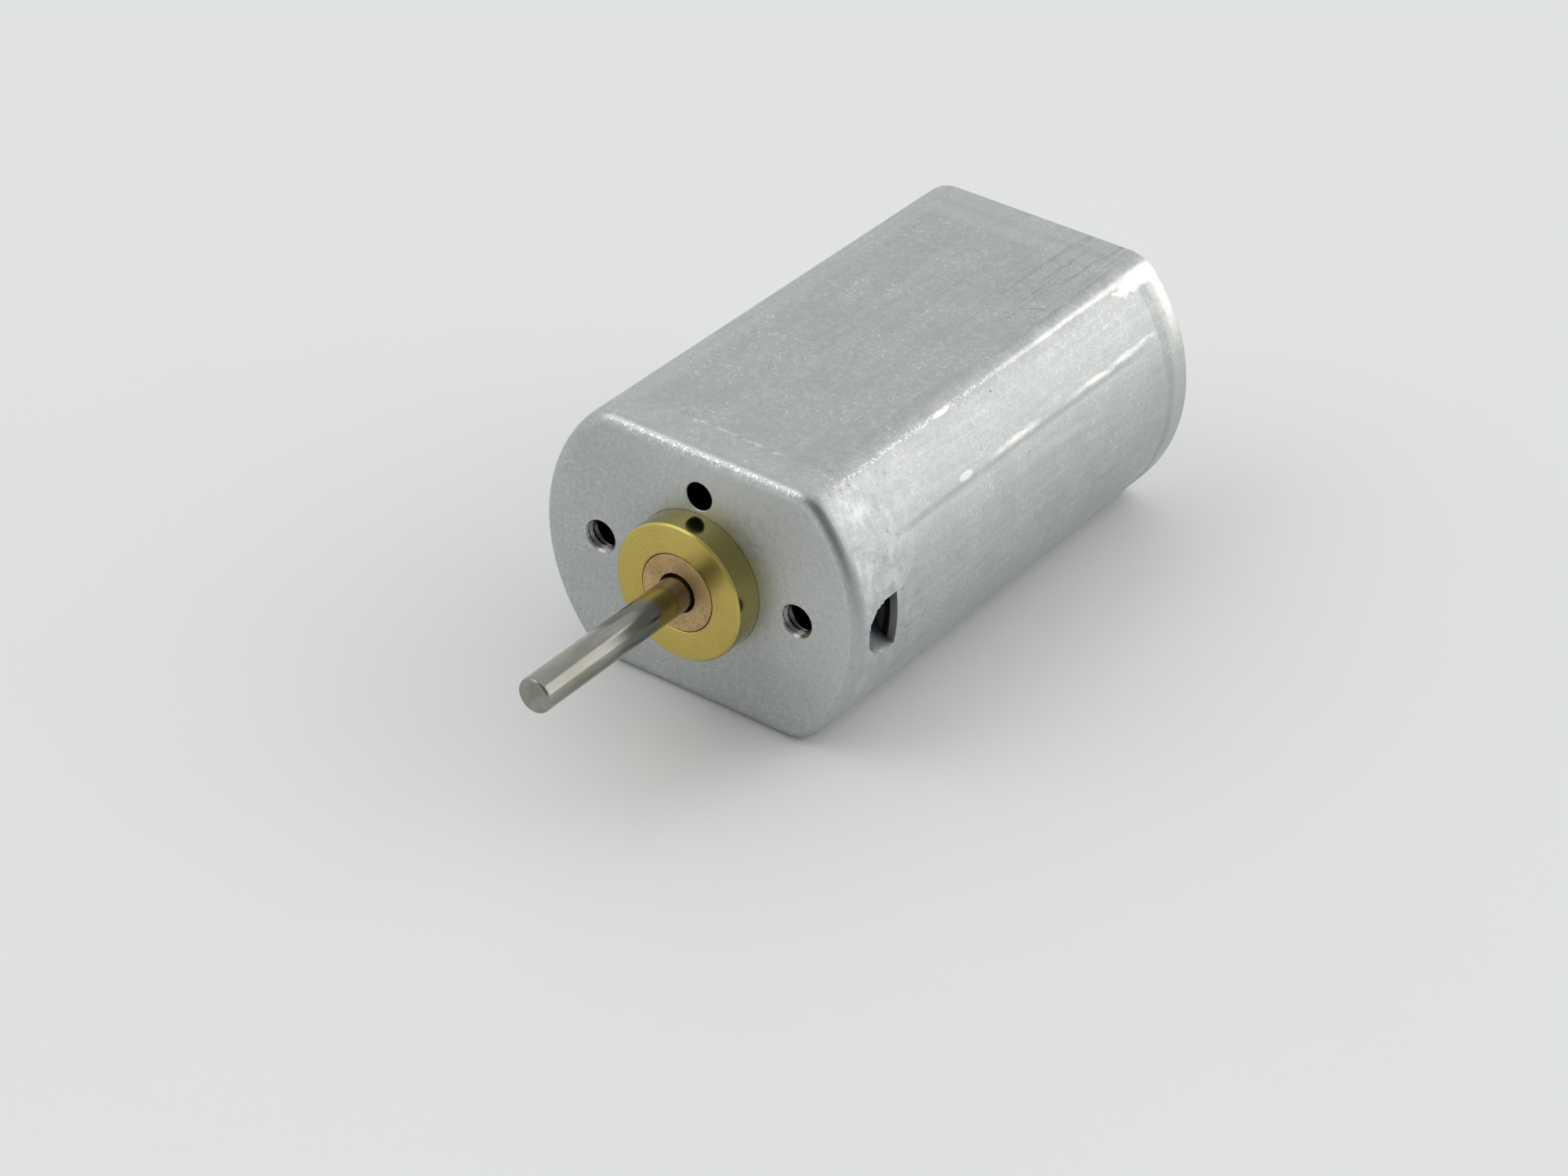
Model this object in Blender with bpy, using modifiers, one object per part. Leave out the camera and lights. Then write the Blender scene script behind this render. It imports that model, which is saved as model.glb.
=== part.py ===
"""A small brushed DC motor in a flatted steel can, built as separate pieces, in metres.

The shaft lies along Y and points to -Y. Every size is worked out in the motor's own frame, which has
its origin at the centre of the can's front face, on the shaft's axis. The empty motor_frame carries
that frame to the row's frame, whose origin is under the middle of the whole motor, on the floor.
"""

import math

import bmesh
import bpy
from mathutils import Matrix, Vector

MM = 0.001
FIT = 0.03 * MM  # gap left between two pieces that are pressed together or run in each other
REST = 0.05 * MM  # gap left between two pieces that lie against each other
OVERLAP = 0.5 * MM  # how far a cutter or a joined shape runs past the surface that it meets
ROUND_STEPS = 48
SIDE_STEPS = 16  # facets on each curved side of the can's outline
CORNER_STEPS = 6
SMOOTH_ANGLE = math.radians(30)

# The can
CAN_WIDTH = 20.4 * MM
CAN_HEIGHT = 15.3 * MM
CAN_LENGTH = 32.2 * MM
CAN_WALL = 0.8 * MM
CAN_CORNER_RADIUS = 2.4 * MM
CAN_FRONT_FILLET = 0.7 * MM
SPIGOT_RADIUS = 3.0 * MM
VENT_RADIUS = 0.8 * MM
VENT_HEIGHT = 5.03 * MM
SCREW_PITCH = 12.7 * MM
THREAD_CORE_RADIUS = 0.8 * MM
THREAD_MOUTH_RADIUS = 1.0 * MM
THREAD_MOUTH_DEPTH = 0.2 * MM
LANCE_CUT = 3.52 * MM  # where the wall is sheared through behind each pressed-in magnet stop
LANCE_LENGTH = 2.45 * MM
LANCE_HALF_WIDTH = 1.68 * MM
LANCE_DEPTH = 1.5 * MM
LANCE_WALL = 0.6 * MM
CRIMP_WIDTH = 2.4 * MM
CRIMP_PLACE = 3.4 * MM
CRIMP_REACH = 1.0 * MM
CRIMP_THICKNESS = 0.6 * MM

# The front bearing
BOSS_RADIUS = 4.0 * MM
BOSS_HEIGHT = 1.75 * MM
BOSS_CHAMFER = 0.3 * MM
STAKE_RADIUS = 3.5 * MM
STAKE_THICKNESS = 0.37 * MM
BUSH_RADIUS = 2.23 * MM
BUSH_REAR = 1.6 * MM
BUSH_MOUTH_RADIUS = 1.22 * MM
BUSH_MOUTH_DEPTH = 0.3 * MM
EDGE_BREAK = 0.06 * MM
SEAT_DEPTH = 0.1 * MM  # how deep the staking press beds the boss into the front wall

# The magnets and the wire that spreads them
MAGNET_OUTER_RADIUS = CAN_WIDTH / 2 - CAN_WALL - REST
MAGNET_INNER_RADIUS = 6.85 * MM
MAGNET_HALF_ANGLE = 50.0
MAGNET_HALF_HEIGHT = 6.5 * MM
MAGNET_FRONT = 3.6 * MM
MAGNET_REAR = 22.2 * MM
SPRING_WIRE_RADIUS = 0.4 * MM
SPRING_HEIGHT = 6.4 * MM
SPRING_FRONT = 2.9 * MM
SPRING_REAR = 20.0 * MM
SPRING_BEND_RADIUS = 1.2 * MM

# The end cap and the rear bearing
CAP_FRONT = 23.0 * MM
CAP_FLOOR = 29.3 * MM
CAP_REAR = 31.35 * MM
CAP_SKIRT = 1.0 * MM
REAR_BOSS_RADIUS = 3.075 * MM
REAR_BOSS_END = 33.4 * MM
REAR_BUSH_RADIUS = 1.95 * MM
REAR_BUSH_FRONT = 28.75 * MM
REAR_BUSH_END = 33.2 * MM

# The terminals and the brushes
TERMINAL_PLACE = 7.2 * MM
TERMINAL_THICKNESS = 0.4 * MM
TERMINAL_HALF_WIDTH = 1.2 * MM
TERMINAL_END = 35.6 * MM
TERMINAL_CORNER = 0.5 * MM
TAB_ROOT = 32.4 * MM  # where the blade is coined thinner, just behind the can's rim
TAB_THICKNESS = 0.3 * MM
SOLDER_HOLE_RADIUS = 0.5 * MM
SOLDER_HOLE_PLACE = 34.3 * MM
BRUSH_FRONT = 24.4 * MM
BRUSH_REAR = 26.0 * MM
BRUSH_HALF_HEIGHT = 1.0 * MM
BRUSH_BACK = 3.9 * MM
ARM_THICKNESS = 0.25 * MM
ARM_ROOT = 6.775 * MM  # distance of the arm's root pad from the shaft's axis
ARM_PAD_LOW = 2.6 * MM
ARM_BEND_HEIGHT = 3.6 * MM
ARM_TIP_HEIGHT = -1.4 * MM

# The rotor
SHAFT_RADIUS = 1.0 * MM
SHAFT_REACH = 13.48 * MM  # how far its tip stands in front of the can
SHAFT_REAR = 33.9 * MM
SHAFT_TIP_ROUND = 0.3 * MM
STACK_RADIUS = 6.6 * MM
STACK_FRONT = 6.55 * MM
STACK_REAR = 20.55 * MM
SHOE_THICKNESS = 1.05 * MM
SHOE_HALF_ANGLE = 52.0
NECK_HALF_WIDTH = 1.3 * MM
HUB_RADIUS = 2.4 * MM
INSULATOR_THICKNESS = 0.5 * MM
INSULATOR_SETBACK = 0.2 * MM
COIL_INNER_RADIUS = 2.55 * MM
COIL_OUTER_RADIUS = 4.6 * MM
COIL_SIDE = 1.5 * MM
COIL_ROUNDING = 0.1 * MM
COMMUTATOR_RADIUS = 2.6 * MM
COMMUTATOR_SLEEVE_RADIUS = 2.2 * MM
COMMUTATOR_FRONT = 23.95 * MM
COMMUTATOR_REAR = 26.95 * MM
SEGMENT_HALF_ANGLE = 56.0
RISER_FRONT = 23.55 * MM
RISER_RADIUS = 3.9 * MM
RISER_HALF_ANGLE = 12.0
HUB_FLANGE_THICKNESS = 0.25 * MM
HUB_FLANGE_REACH = 1.0 * MM
POLE_ANGLES = {"a": 0.0, "b": 120.0, "c": 240.0}
POLE_PITCH = 120.0

# The washers, spacers and rings threaded onto the rotor: inner and outer radius, front, rear, material
SHAFT_HOLE = SHAFT_RADIUS + FIT
COLLARS = {
    "front_thrust_washer": (SHAFT_HOLE, 2.1 * MM, 1.68 * MM, 1.98 * MM, "fibre"),
    "front_spacer": (SHAFT_HOLE, 1.7 * MM, 2.03 * MM, 5.9 * MM, "nylon_natural"),
    "varistor_disc": (
        COMMUTATOR_SLEEVE_RADIUS + REST,
        4.2 * MM,
        23.05 * MM,
        23.5 * MM,
        "varistor_ceramic",
    ),
    "commutator_ring": (COMMUTATOR_RADIUS + FIT, 3.1 * MM, 26.25 * MM, 26.85 * MM, "fibre"),
    "rear_spacer": (SHAFT_HOLE, 1.6 * MM, 27.05 * MM, 28.3 * MM, "nylon_natural"),
    "rear_thrust_washer": (SHAFT_HOLE, 1.8 * MM, 28.35 * MM, 28.65 * MM, "fibre"),
}

# The row's frame
AXIS_HEIGHT = CAN_HEIGHT / 2
FRONT_FACE_Y = (SHAFT_REACH - TERMINAL_END) / 2


def clear_scene():
    for obj in list(bpy.data.objects):
        bpy.data.objects.remove(obj, do_unlink=True)


def new_collection(name):
    collection = bpy.data.collections.new(name)
    bpy.context.scene.collection.children.link(collection)
    return collection


def new_empty(name, collection, location, parent=None):
    empty = bpy.data.objects.new(name, None)
    empty.empty_display_size = 5 * MM
    empty.location = location
    empty.parent = parent
    collection.objects.link(empty)
    return empty


def new_material(name, colour, roughness, metallic):
    material = bpy.data.materials.new(name)
    material.use_nodes = True
    shader = material.node_tree.nodes["Principled BSDF"]
    shader.inputs["Base Color"].default_value = (*colour, 1.0)
    shader.inputs["Roughness"].default_value = roughness
    shader.inputs["Metallic"].default_value = metallic
    material.diffuse_color = (*colour, 1.0)
    return material


# Outlines


def arc(centre, radius, start, end, steps):
    """Points on a circle from one angle to another, in degrees, both ends included."""
    angles = [math.radians(start + (end - start) * i / steps) for i in range(steps + 1)]
    return [(centre[0] + radius * math.cos(a), centre[1] + radius * math.sin(a)) for a in angles]


def circle(centre, radius, steps=ROUND_STEPS):
    return arc(centre, radius, 0, 360, steps)[:-1]


def flatted_outline(inset=0.0):
    """The can's section: a circle cut flat at top and bottom, with the four corners rounded."""
    radius = CAN_WIDTH / 2 - inset
    corner = CAN_CORNER_RADIUS - inset
    z = CAN_HEIGHT / 2 - CAN_CORNER_RADIUS
    x = math.sqrt((CAN_WIDTH / 2 - CAN_CORNER_RADIUS) ** 2 - z**2)
    meet = math.degrees(math.atan2(z, x))
    points = arc((0, 0), radius, -meet, meet, SIDE_STEPS)
    points += arc((x, z), corner, meet, 90, CORNER_STEPS)[1:]
    points += arc((-x, z), corner, 90, 180 - meet, CORNER_STEPS)
    points += arc((0, 0), radius, 180 - meet, 180 + meet, SIDE_STEPS)[1:]
    points += arc((-x, -z), corner, 180 + meet, 270, CORNER_STEPS)[1:]
    points += arc((x, -z), corner, 270, 360 - meet, CORNER_STEPS)[:-1]
    return points


def rounded_rectangle(half_width, low, high, radius, steps=5):
    x = half_width - radius
    points = arc((x, high - radius), radius, 0, 90, steps)
    points += arc((-x, high - radius), radius, 90, 180, steps)
    points += arc((-x, low + radius), radius, 180, 270, steps)
    points += arc((x, low + radius), radius, 270, 360, steps)
    return points


def sector_outline(inner, outer, middle, half_angle, steps):
    points = arc((0, 0), outer, middle - half_angle, middle + half_angle, steps)
    points += arc((0, 0), inner, middle + half_angle, middle - half_angle, steps)
    return points


def pole_outline(setback=0.0):
    """The outside of a three-pole lamination: a hub, three necks and three shoes."""
    outer = STACK_RADIUS - setback
    inner = STACK_RADIUS - SHOE_THICKNESS
    neck_at_shoe = math.degrees(math.asin(NECK_HALF_WIDTH / inner))
    neck_at_hub = math.degrees(math.asin(NECK_HALF_WIDTH / HUB_RADIUS))
    points = []
    for angle in POLE_ANGLES.values():
        middle = 90 - angle
        before = middle + POLE_PITCH
        points += arc((0, 0), HUB_RADIUS, before - neck_at_hub, middle + neck_at_hub, 5)
        points += arc((0, 0), inner, middle + neck_at_shoe, middle + SHOE_HALF_ANGLE, 6)
        points += arc((0, 0), outer, middle + SHOE_HALF_ANGLE, middle - SHOE_HALF_ANGLE, 18)
        points += arc((0, 0), inner, middle - SHOE_HALF_ANGLE, middle - neck_at_shoe, 6)
    return points[::-1]


def magnet_outline():
    clip = math.degrees(math.asin(MAGNET_HALF_HEIGHT / MAGNET_OUTER_RADIUS))
    corner_x = MAGNET_HALF_HEIGHT / math.tan(math.radians(MAGNET_HALF_ANGLE))
    points = arc((0, 0), MAGNET_OUTER_RADIUS, -clip, clip, 20)
    points += [(corner_x, MAGNET_HALF_HEIGHT)]
    points += arc((0, 0), MAGNET_INNER_RADIUS, MAGNET_HALF_ANGLE, -MAGNET_HALF_ANGLE, 22)
    points += [(corner_x, -MAGNET_HALF_HEIGHT)]
    return points


def terminal_outline():
    """A flat blade in (Y, Z): the tab behind the cap, and the wing that carries the brush arm."""
    wing_top = ARM_BEND_HEIGHT
    corner = TERMINAL_CORNER
    points = [(BRUSH_FRONT, -TERMINAL_HALF_WIDTH)]
    points += [(TERMINAL_END - corner, -TERMINAL_HALF_WIDTH)]
    points += [(TERMINAL_END, -TERMINAL_HALF_WIDTH + corner)]
    points += [(TERMINAL_END, TERMINAL_HALF_WIDTH - corner)]
    points += [(TERMINAL_END - corner, TERMINAL_HALF_WIDTH)]
    points += [(BRUSH_REAR, TERMINAL_HALF_WIDTH), (BRUSH_REAR, wing_top), (BRUSH_FRONT, wing_top)]
    return points


def arm_outline():
    """A leaf spring in (X, Z): a root pad, a U-bend, and a leg that ends behind the brush."""
    half = ARM_THICKNESS / 2
    leg = BRUSH_BACK + REST + half
    centre = ((ARM_ROOT + leg) / 2, ARM_BEND_HEIGHT)
    radius = (ARM_ROOT - leg) / 2
    points = [(ARM_ROOT + half, ARM_PAD_LOW)]
    points += arc(centre, radius + half, 0, 180, 12)
    points += [(leg - half, ARM_TIP_HEIGHT), (leg + half, ARM_TIP_HEIGHT)]
    points += arc(centre, radius - half, 180, 0, 12)
    points += [(ARM_ROOT - half, ARM_PAD_LOW)]
    return points


# Solids

FACING = {
    "X": Matrix(((0, 0, 1, 0), (1, 0, 0, 0), (0, 1, 0, 0), (0, 0, 0, 1))),
    "Y": Matrix.Rotation(math.radians(90), 4, "X"),
    "Z": Matrix.Identity(4),
}
DIRECTION = {"X": Vector((1, 0, 0)), "Y": Vector((0, 1, 0)), "Z": Vector((0, 0, 1))}


def mesh_from_curve(curve):
    """The mesh of a curve with its caps joined on and its faces turned outwards."""
    carrier = bpy.data.objects.new(curve.name, curve)
    bpy.context.scene.collection.objects.link(carrier)
    graph = bpy.context.evaluated_depsgraph_get()
    mesh = bpy.data.meshes.new_from_object(carrier.evaluated_get(graph))
    mesh.transform(Matrix.Scale(MM, 4))
    bpy.data.objects.remove(carrier)
    bpy.data.curves.remove(curve)
    shape = bmesh.new()
    shape.from_mesh(mesh)
    bmesh.ops.remove_doubles(shape, verts=shape.verts, dist=0.001 * MM)
    bmesh.ops.recalc_face_normals(shape, faces=shape.faces)
    shape.to_mesh(mesh)
    shape.free()
    return mesh


def new_curve(name, dimensions, outlines, cyclic):
    """A poly curve, kept in millimetres so that Blender's fill can tell its points apart."""
    curve = bpy.data.curves.new(name, "CURVE")
    curve.dimensions = dimensions
    for outline in outlines:
        spline = curve.splines.new("POLY")
        spline.points.add(len(outline) - 1)
        for point, place in zip(spline.points, outline):
            point.co = (*(Vector(place) / MM).to_3d(), 1)
        spline.use_cyclic_u = cyclic
    return curve


def new_object(name, mesh, collection, parent):
    obj = bpy.data.objects.new(name, mesh)
    collection.objects.link(obj)
    obj.parent = parent
    return obj


def plate_mesh(name, outlines, facing, low, high):
    """A flat outline, drawn across the X, Y or Z axis, as thick as from low to high along it."""
    curve = new_curve(name, "2D", outlines, cyclic=True)
    curve.fill_mode = "BOTH"
    curve.extrude = (high - low) / 2 / MM
    mesh = mesh_from_curve(curve)
    mesh.transform(Matrix.Translation(DIRECTION[facing] * (low + high) / 2) @ FACING[facing])
    return mesh


def wire_mesh(name, points, radius):
    curve = new_curve(name, "3D", [points], cyclic=False)
    curve.bevel_depth = radius / MM
    curve.bevel_resolution = 2
    curve.use_fill_caps = True
    return mesh_from_curve(curve)


def turned_mesh(name, profile, closed=True):
    """A profile of (radius, y) points turned about the Y axis.

    The profile runs along its rear face outwards, forwards along its outside and back along its
    front. A closed one makes a ring, and an open one starts and ends on the axis.
    """
    mesh = bpy.data.meshes.new(name)
    shape = bmesh.new()
    verts = [shape.verts.new((radius, 0, y)) for radius, y in profile]
    for first, second in zip(verts, verts[1:] + verts[:1] if closed else verts[1:]):
        shape.edges.new((first, second))
    shape.to_mesh(mesh)
    shape.free()
    carrier = new_object(name, mesh, bpy.context.scene.collection, None)
    screw = carrier.modifiers.new("Turn", "SCREW")
    screw.axis = "Z"
    screw.steps = ROUND_STEPS
    screw.render_steps = ROUND_STEPS
    screw.use_merge_vertices = True
    screw.merge_threshold = 0.001 * MM
    graph = bpy.context.evaluated_depsgraph_get()
    turned = bpy.data.meshes.new_from_object(carrier.evaluated_get(graph))
    bpy.data.objects.remove(carrier)
    turned.transform(Matrix.Rotation(math.radians(-90), 4, "X"))
    return turned


def ring_mesh(name, inner, outer, front, rear, edge=0.0):
    """A plain ring or tube, with its two outer edges broken if an edge size is given."""
    profile = [(inner, rear), (outer - edge, rear), (outer - edge, front), (inner, front)]
    if edge:
        profile[2:2] = [(outer, rear - edge), (outer, front + edge)]
    return turned_mesh(name, profile)


def box_mesh(name, low, high):
    mesh = bpy.data.meshes.new(name)
    shape = bmesh.new()
    size = Vector(high) - Vector(low)
    middle = (Vector(high) + Vector(low)) / 2
    bmesh.ops.create_cube(shape, size=1, matrix=Matrix.Translation(middle) @ Matrix.Diagonal((*size, 1)))
    shape.to_mesh(mesh)
    shape.free()
    return mesh


def half_ellipsoid_mesh(name, centre, radii):
    """The front half of an ellipsoid, closed by a flat face at its centre's Y."""
    mesh = bpy.data.meshes.new(name)
    shape = bmesh.new()
    place = Matrix.Translation(centre) @ Matrix.Diagonal((*radii, 1))
    bmesh.ops.create_uvsphere(shape, u_segments=32, v_segments=20, radius=1, matrix=place)
    cut = bmesh.ops.bisect_plane(
        shape,
        geom=shape.verts[:] + shape.edges[:] + shape.faces[:],
        dist=0.001 * MM,
        plane_co=centre,
        plane_no=(0, 1, 0),
        clear_outer=True,
    )
    rim = [item for item in cut["geom_cut"] if isinstance(item, bmesh.types.BMEdge)]
    bmesh.ops.contextual_create(shape, geom=rim)
    bmesh.ops.recalc_face_normals(shape, faces=shape.faces)
    shape.to_mesh(mesh)
    shape.free()
    return mesh


def rounded_front(mesh, radius, segments):
    """Rounds the edge between a prism's front face and its sides."""
    shape = bmesh.new()
    shape.from_mesh(mesh)
    bmesh.ops.dissolve_limit(
        shape, angle_limit=math.radians(1), verts=shape.verts, edges=shape.edges
    )
    front = min(vert.co.y for vert in shape.verts)
    near = {vert for vert in shape.verts if vert.co.y < front + 0.001 * MM}
    edges = [edge for edge in shape.edges if near.issuperset(edge.verts)]
    bmesh.ops.bevel(
        shape, geom=edges, offset=radius, segments=segments, profile=0.5, affect="EDGES"
    )
    shape.to_mesh(mesh)
    shape.free()


# Joining, cutting and finishing


def combine(obj, other, operation):
    modifier = obj.modifiers.new(other.name, "BOOLEAN")
    modifier.operation = operation
    modifier.solver = "EXACT"
    modifier.object = other


def settle(obj):
    """Applies the object's modifiers, then shades it smooth with its sharp edges kept."""
    bpy.context.view_layer.update()
    graph = bpy.context.evaluated_depsgraph_get()
    mesh = bpy.data.meshes.new_from_object(obj.evaluated_get(graph))
    obj.modifiers.clear()
    obj.data = mesh
    mesh.shade_smooth()
    mesh.set_sharp_from_angle(angle=SMOOTH_ANGLE)


class Motor:
    """The collections, frames and materials that the pieces are made in."""

    def __init__(self):
        self.parts = new_collection("electric_motor")
        self.cutters = new_collection("cutters")
        self.cutters.hide_render = True
        self.frame = new_empty("motor_frame", self.parts, (0, FRONT_FACE_Y, AXIS_HEIGHT))
        self.rotor = new_empty("rotor_spin", self.parts, (0, 0, 0), self.frame)
        pivot = Vector((ARM_ROOT, 0, (ARM_PAD_LOW + ARM_BEND_HEIGHT) / 2))
        self.brush_right = new_empty("brush_right_flex", self.parts, pivot, self.frame)
        self.brush_left = new_empty("brush_left_flex", self.parts, (-pivot.x, 0, -pivot.z), self.frame)
        self.materials = {}

    def define(self, name, colour, roughness, metallic):
        self.materials[name] = new_material(name, colour, roughness, metallic)

    def part(self, name, mesh, material, parent=None):
        """A named piece, whose mesh is given in the motor's own frame."""
        parent = parent or self.frame
        obj = new_object(name, mesh, self.parts, parent)
        if parent is not self.frame:
            obj.location = -parent.location
        mesh.materials.clear()
        mesh.materials.append(self.materials[material])
        return obj

    def helper(self, name, mesh):
        """A shape that only cuts or joins, and isn't a piece itself."""
        obj = new_object(name, mesh, self.cutters, self.frame)
        obj.hide_render = True
        obj.display_type = "WIRE"
        return obj


def opposite(mesh):
    """The same piece turned half a turn about the shaft."""
    mesh.transform(Matrix.Rotation(math.pi, 4, "Y"))
    return mesh


# The still pieces


def add_can(motor):
    outside = plate_mesh("can", [flatted_outline()], "Y", 0, CAN_LENGTH)
    rounded_front(outside, CAN_FRONT_FILLET, segments=6)
    can = motor.part("can", outside, "zinc_plated_steel")
    hollow = motor.helper(
        "can_hollow",
        plate_mesh("can_hollow", [flatted_outline(CAN_WALL)], "Y", CAN_WALL, CAN_LENGTH + OVERLAP),
    )
    pressings = []
    for side, x in (("right", CAN_WIDTH / 2), ("left", -CAN_WIDTH / 2)):
        outer = (LANCE_DEPTH, LANCE_LENGTH, LANCE_HALF_WIDTH)
        inner = [size + LANCE_WALL for size in outer]
        stop = half_ellipsoid_mesh("stop_" + side, (x, LANCE_CUT, 0), inner)
        combine(hollow, motor.helper("stop_" + side, stop), "DIFFERENCE")
        dent = half_ellipsoid_mesh("dent_" + side, (x, LANCE_CUT + FIT, 0), outer)
        pressings.append(motor.helper("dent_" + side, dent))
    combine(can, hollow, "DIFFERENCE")
    for pressing in pressings:
        combine(can, pressing, "DIFFERENCE")
    add_front_holes(motor, can)
    for x in (-CRIMP_PLACE, CRIMP_PLACE):
        for side, outward in (("top", 1), ("bottom", -1)):
            inside = CAN_HEIGHT / 2 - CAN_WALL - CRIMP_REACH
            ends = sorted((outward * inside, outward * (CAN_HEIGHT / 2 - CAN_WALL / 2)))
            front = CAP_REAR + REST
            low = (x - CRIMP_WIDTH / 2, front, ends[0])
            high = (x + CRIMP_WIDTH / 2, front + CRIMP_THICKNESS, ends[1])
            place = "left" if x < 0 else "right"
            name = f"crimp_{side}_{place}"
            combine(can, motor.helper(name, box_mesh(name, low, high)), "UNION")
    settle(can)


def add_front_holes(motor, can):
    through = (-OVERLAP, CAN_WALL + OVERLAP)
    holes = {
        "spigot_hole": ((0, 0), SPIGOT_RADIUS + FIT),
        "vent_hole": ((0, VENT_HEIGHT), VENT_RADIUS),
    }
    for name, (centre, radius) in holes.items():
        mesh = plate_mesh(name, [circle(centre, radius)], "Y", *through)
        combine(can, motor.helper(name, mesh), "DIFFERENCE")
    seat = [circle((0, 0), BOSS_RADIUS + FIT)]
    mesh = plate_mesh("boss_seat", seat, "Y", -OVERLAP, SEAT_DEPTH)
    combine(can, motor.helper("boss_seat", mesh), "DIFFERENCE")
    for side, x in (("left", -SCREW_PITCH / 2), ("right", SCREW_PITCH / 2)):
        core = THREAD_CORE_RADIUS
        rise = THREAD_MOUTH_RADIUS - core
        profile = [
            (0, through[1]),
            (core, through[1]),
            (core, THREAD_MOUTH_DEPTH),
            (core + rise, 0),
            (core + rise, through[0]),
            (0, through[0]),
        ]
        mesh = turned_mesh("screw_hole_" + side, profile, closed=False)
        mesh.transform(Matrix.Translation((x, 0, 0)))
        combine(can, motor.helper("screw_hole_" + side, mesh), "DIFFERENCE")


def add_front_bearing(motor):
    bore = BUSH_RADIUS + FIT
    stake_front = CAN_WALL + FIT
    profile = [
        (bore, stake_front + STAKE_THICKNESS),
        (STAKE_RADIUS, stake_front + STAKE_THICKNESS),
        (STAKE_RADIUS, stake_front),
        (SPIGOT_RADIUS, stake_front),
        (SPIGOT_RADIUS, SEAT_DEPTH - FIT),
        (BOSS_RADIUS, SEAT_DEPTH - FIT),
        (BOSS_RADIUS, -BOSS_HEIGHT + BOSS_CHAMFER),
        (BOSS_RADIUS - BOSS_CHAMFER, -BOSS_HEIGHT),
        (bore + EDGE_BREAK, -BOSS_HEIGHT),
        (bore, -BOSS_HEIGHT + EDGE_BREAK),
    ]
    settle(motor.part("boss_ring", turned_mesh("boss_ring", profile), "brass"))
    running = SHAFT_RADIUS + FIT
    profile = [
        (running, BUSH_REAR),
        (BUSH_RADIUS - EDGE_BREAK, BUSH_REAR),
        (BUSH_RADIUS, BUSH_REAR - EDGE_BREAK),
        (BUSH_RADIUS, -BOSS_HEIGHT + EDGE_BREAK),
        (BUSH_RADIUS - EDGE_BREAK, -BOSS_HEIGHT),
        (BUSH_MOUTH_RADIUS, -BOSS_HEIGHT),
        (running, -BOSS_HEIGHT + BUSH_MOUTH_DEPTH),
    ]
    settle(motor.part("front_bush", turned_mesh("front_bush", profile), "sintered_bronze"))


def add_magnets(motor):
    for side in ("right", "left"):
        name = "magnet_" + side
        mesh = plate_mesh(name, [magnet_outline()], "Y", MAGNET_FRONT, MAGNET_REAR)
        if side == "left":
            opposite(mesh)
        settle(motor.part(name, mesh, "ferrite"))


def add_magnet_spring(motor):
    """A hairpin of wire under the top flat, whose legs press the magnets' upper ends apart."""
    tilt = math.radians(MAGNET_HALF_ANGLE)
    clear = SPRING_WIRE_RADIUS + REST
    leg = (SPRING_HEIGHT * math.cos(tilt) - clear) / math.sin(tilt)
    inner = leg - SPRING_BEND_RADIUS
    bend_y = SPRING_FRONT + SPRING_WIRE_RADIUS + SPRING_BEND_RADIUS
    route = [(leg, SPRING_REAR)]
    route += arc((inner, bend_y), SPRING_BEND_RADIUS, 0, -90, 6)
    route += arc((-inner, bend_y), SPRING_BEND_RADIUS, -90, -180, 6)
    route += [(-leg, SPRING_REAR)]
    points = [(x, y, SPRING_HEIGHT) for x, y in route]
    mesh = wire_mesh("magnet_spring", points, SPRING_WIRE_RADIUS)
    settle(motor.part("magnet_spring", mesh, "spring_steel"))


def add_end_cap(motor):
    outside = CAN_WALL + REST
    body = plate_mesh("end_cap", [flatted_outline(outside)], "Y", CAP_FRONT, CAP_REAR)
    cap = motor.part("end_cap", body, "nylon")
    inside = flatted_outline(outside + CAP_SKIRT)
    hollow = plate_mesh("cap_hollow", [inside], "Y", CAP_FRONT - OVERLAP, CAP_FLOOR)
    combine(cap, motor.helper("cap_hollow", hollow), "DIFFERENCE")
    boss = ring_mesh(
        "rear_boss",
        REAR_BUSH_RADIUS / 2,
        REAR_BOSS_RADIUS,
        CAP_REAR - OVERLAP,
        REAR_BOSS_END,
        edge=2 * EDGE_BREAK,
    )
    combine(cap, motor.helper("rear_boss", boss), "UNION")
    bore = [circle((0, 0), REAR_BUSH_RADIUS + FIT)]
    through = (CAP_FLOOR - OVERLAP, REAR_BOSS_END + OVERLAP)
    bore = plate_mesh("cap_bore", bore, "Y", *through)
    combine(cap, motor.helper("cap_bore", bore), "DIFFERENCE")
    half_width = TERMINAL_HALF_WIDTH + REST
    half_thickness = TERMINAL_THICKNESS / 2 + REST
    for side, x in (("right", TERMINAL_PLACE), ("left", -TERMINAL_PLACE)):
        low = (x - half_thickness, through[0], -half_width)
        high = (x + half_thickness, through[1], half_width)
        slot = box_mesh("slot_" + side, low, high)
        combine(cap, motor.helper("slot_" + side, slot), "DIFFERENCE")
    settle(cap)
    mesh = ring_mesh(
        "rear_bush",
        SHAFT_RADIUS + FIT,
        REAR_BUSH_RADIUS,
        REAR_BUSH_FRONT,
        REAR_BUSH_END,
        edge=EDGE_BREAK,
    )
    settle(motor.part("rear_bush", mesh, "sintered_bronze"))


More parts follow.
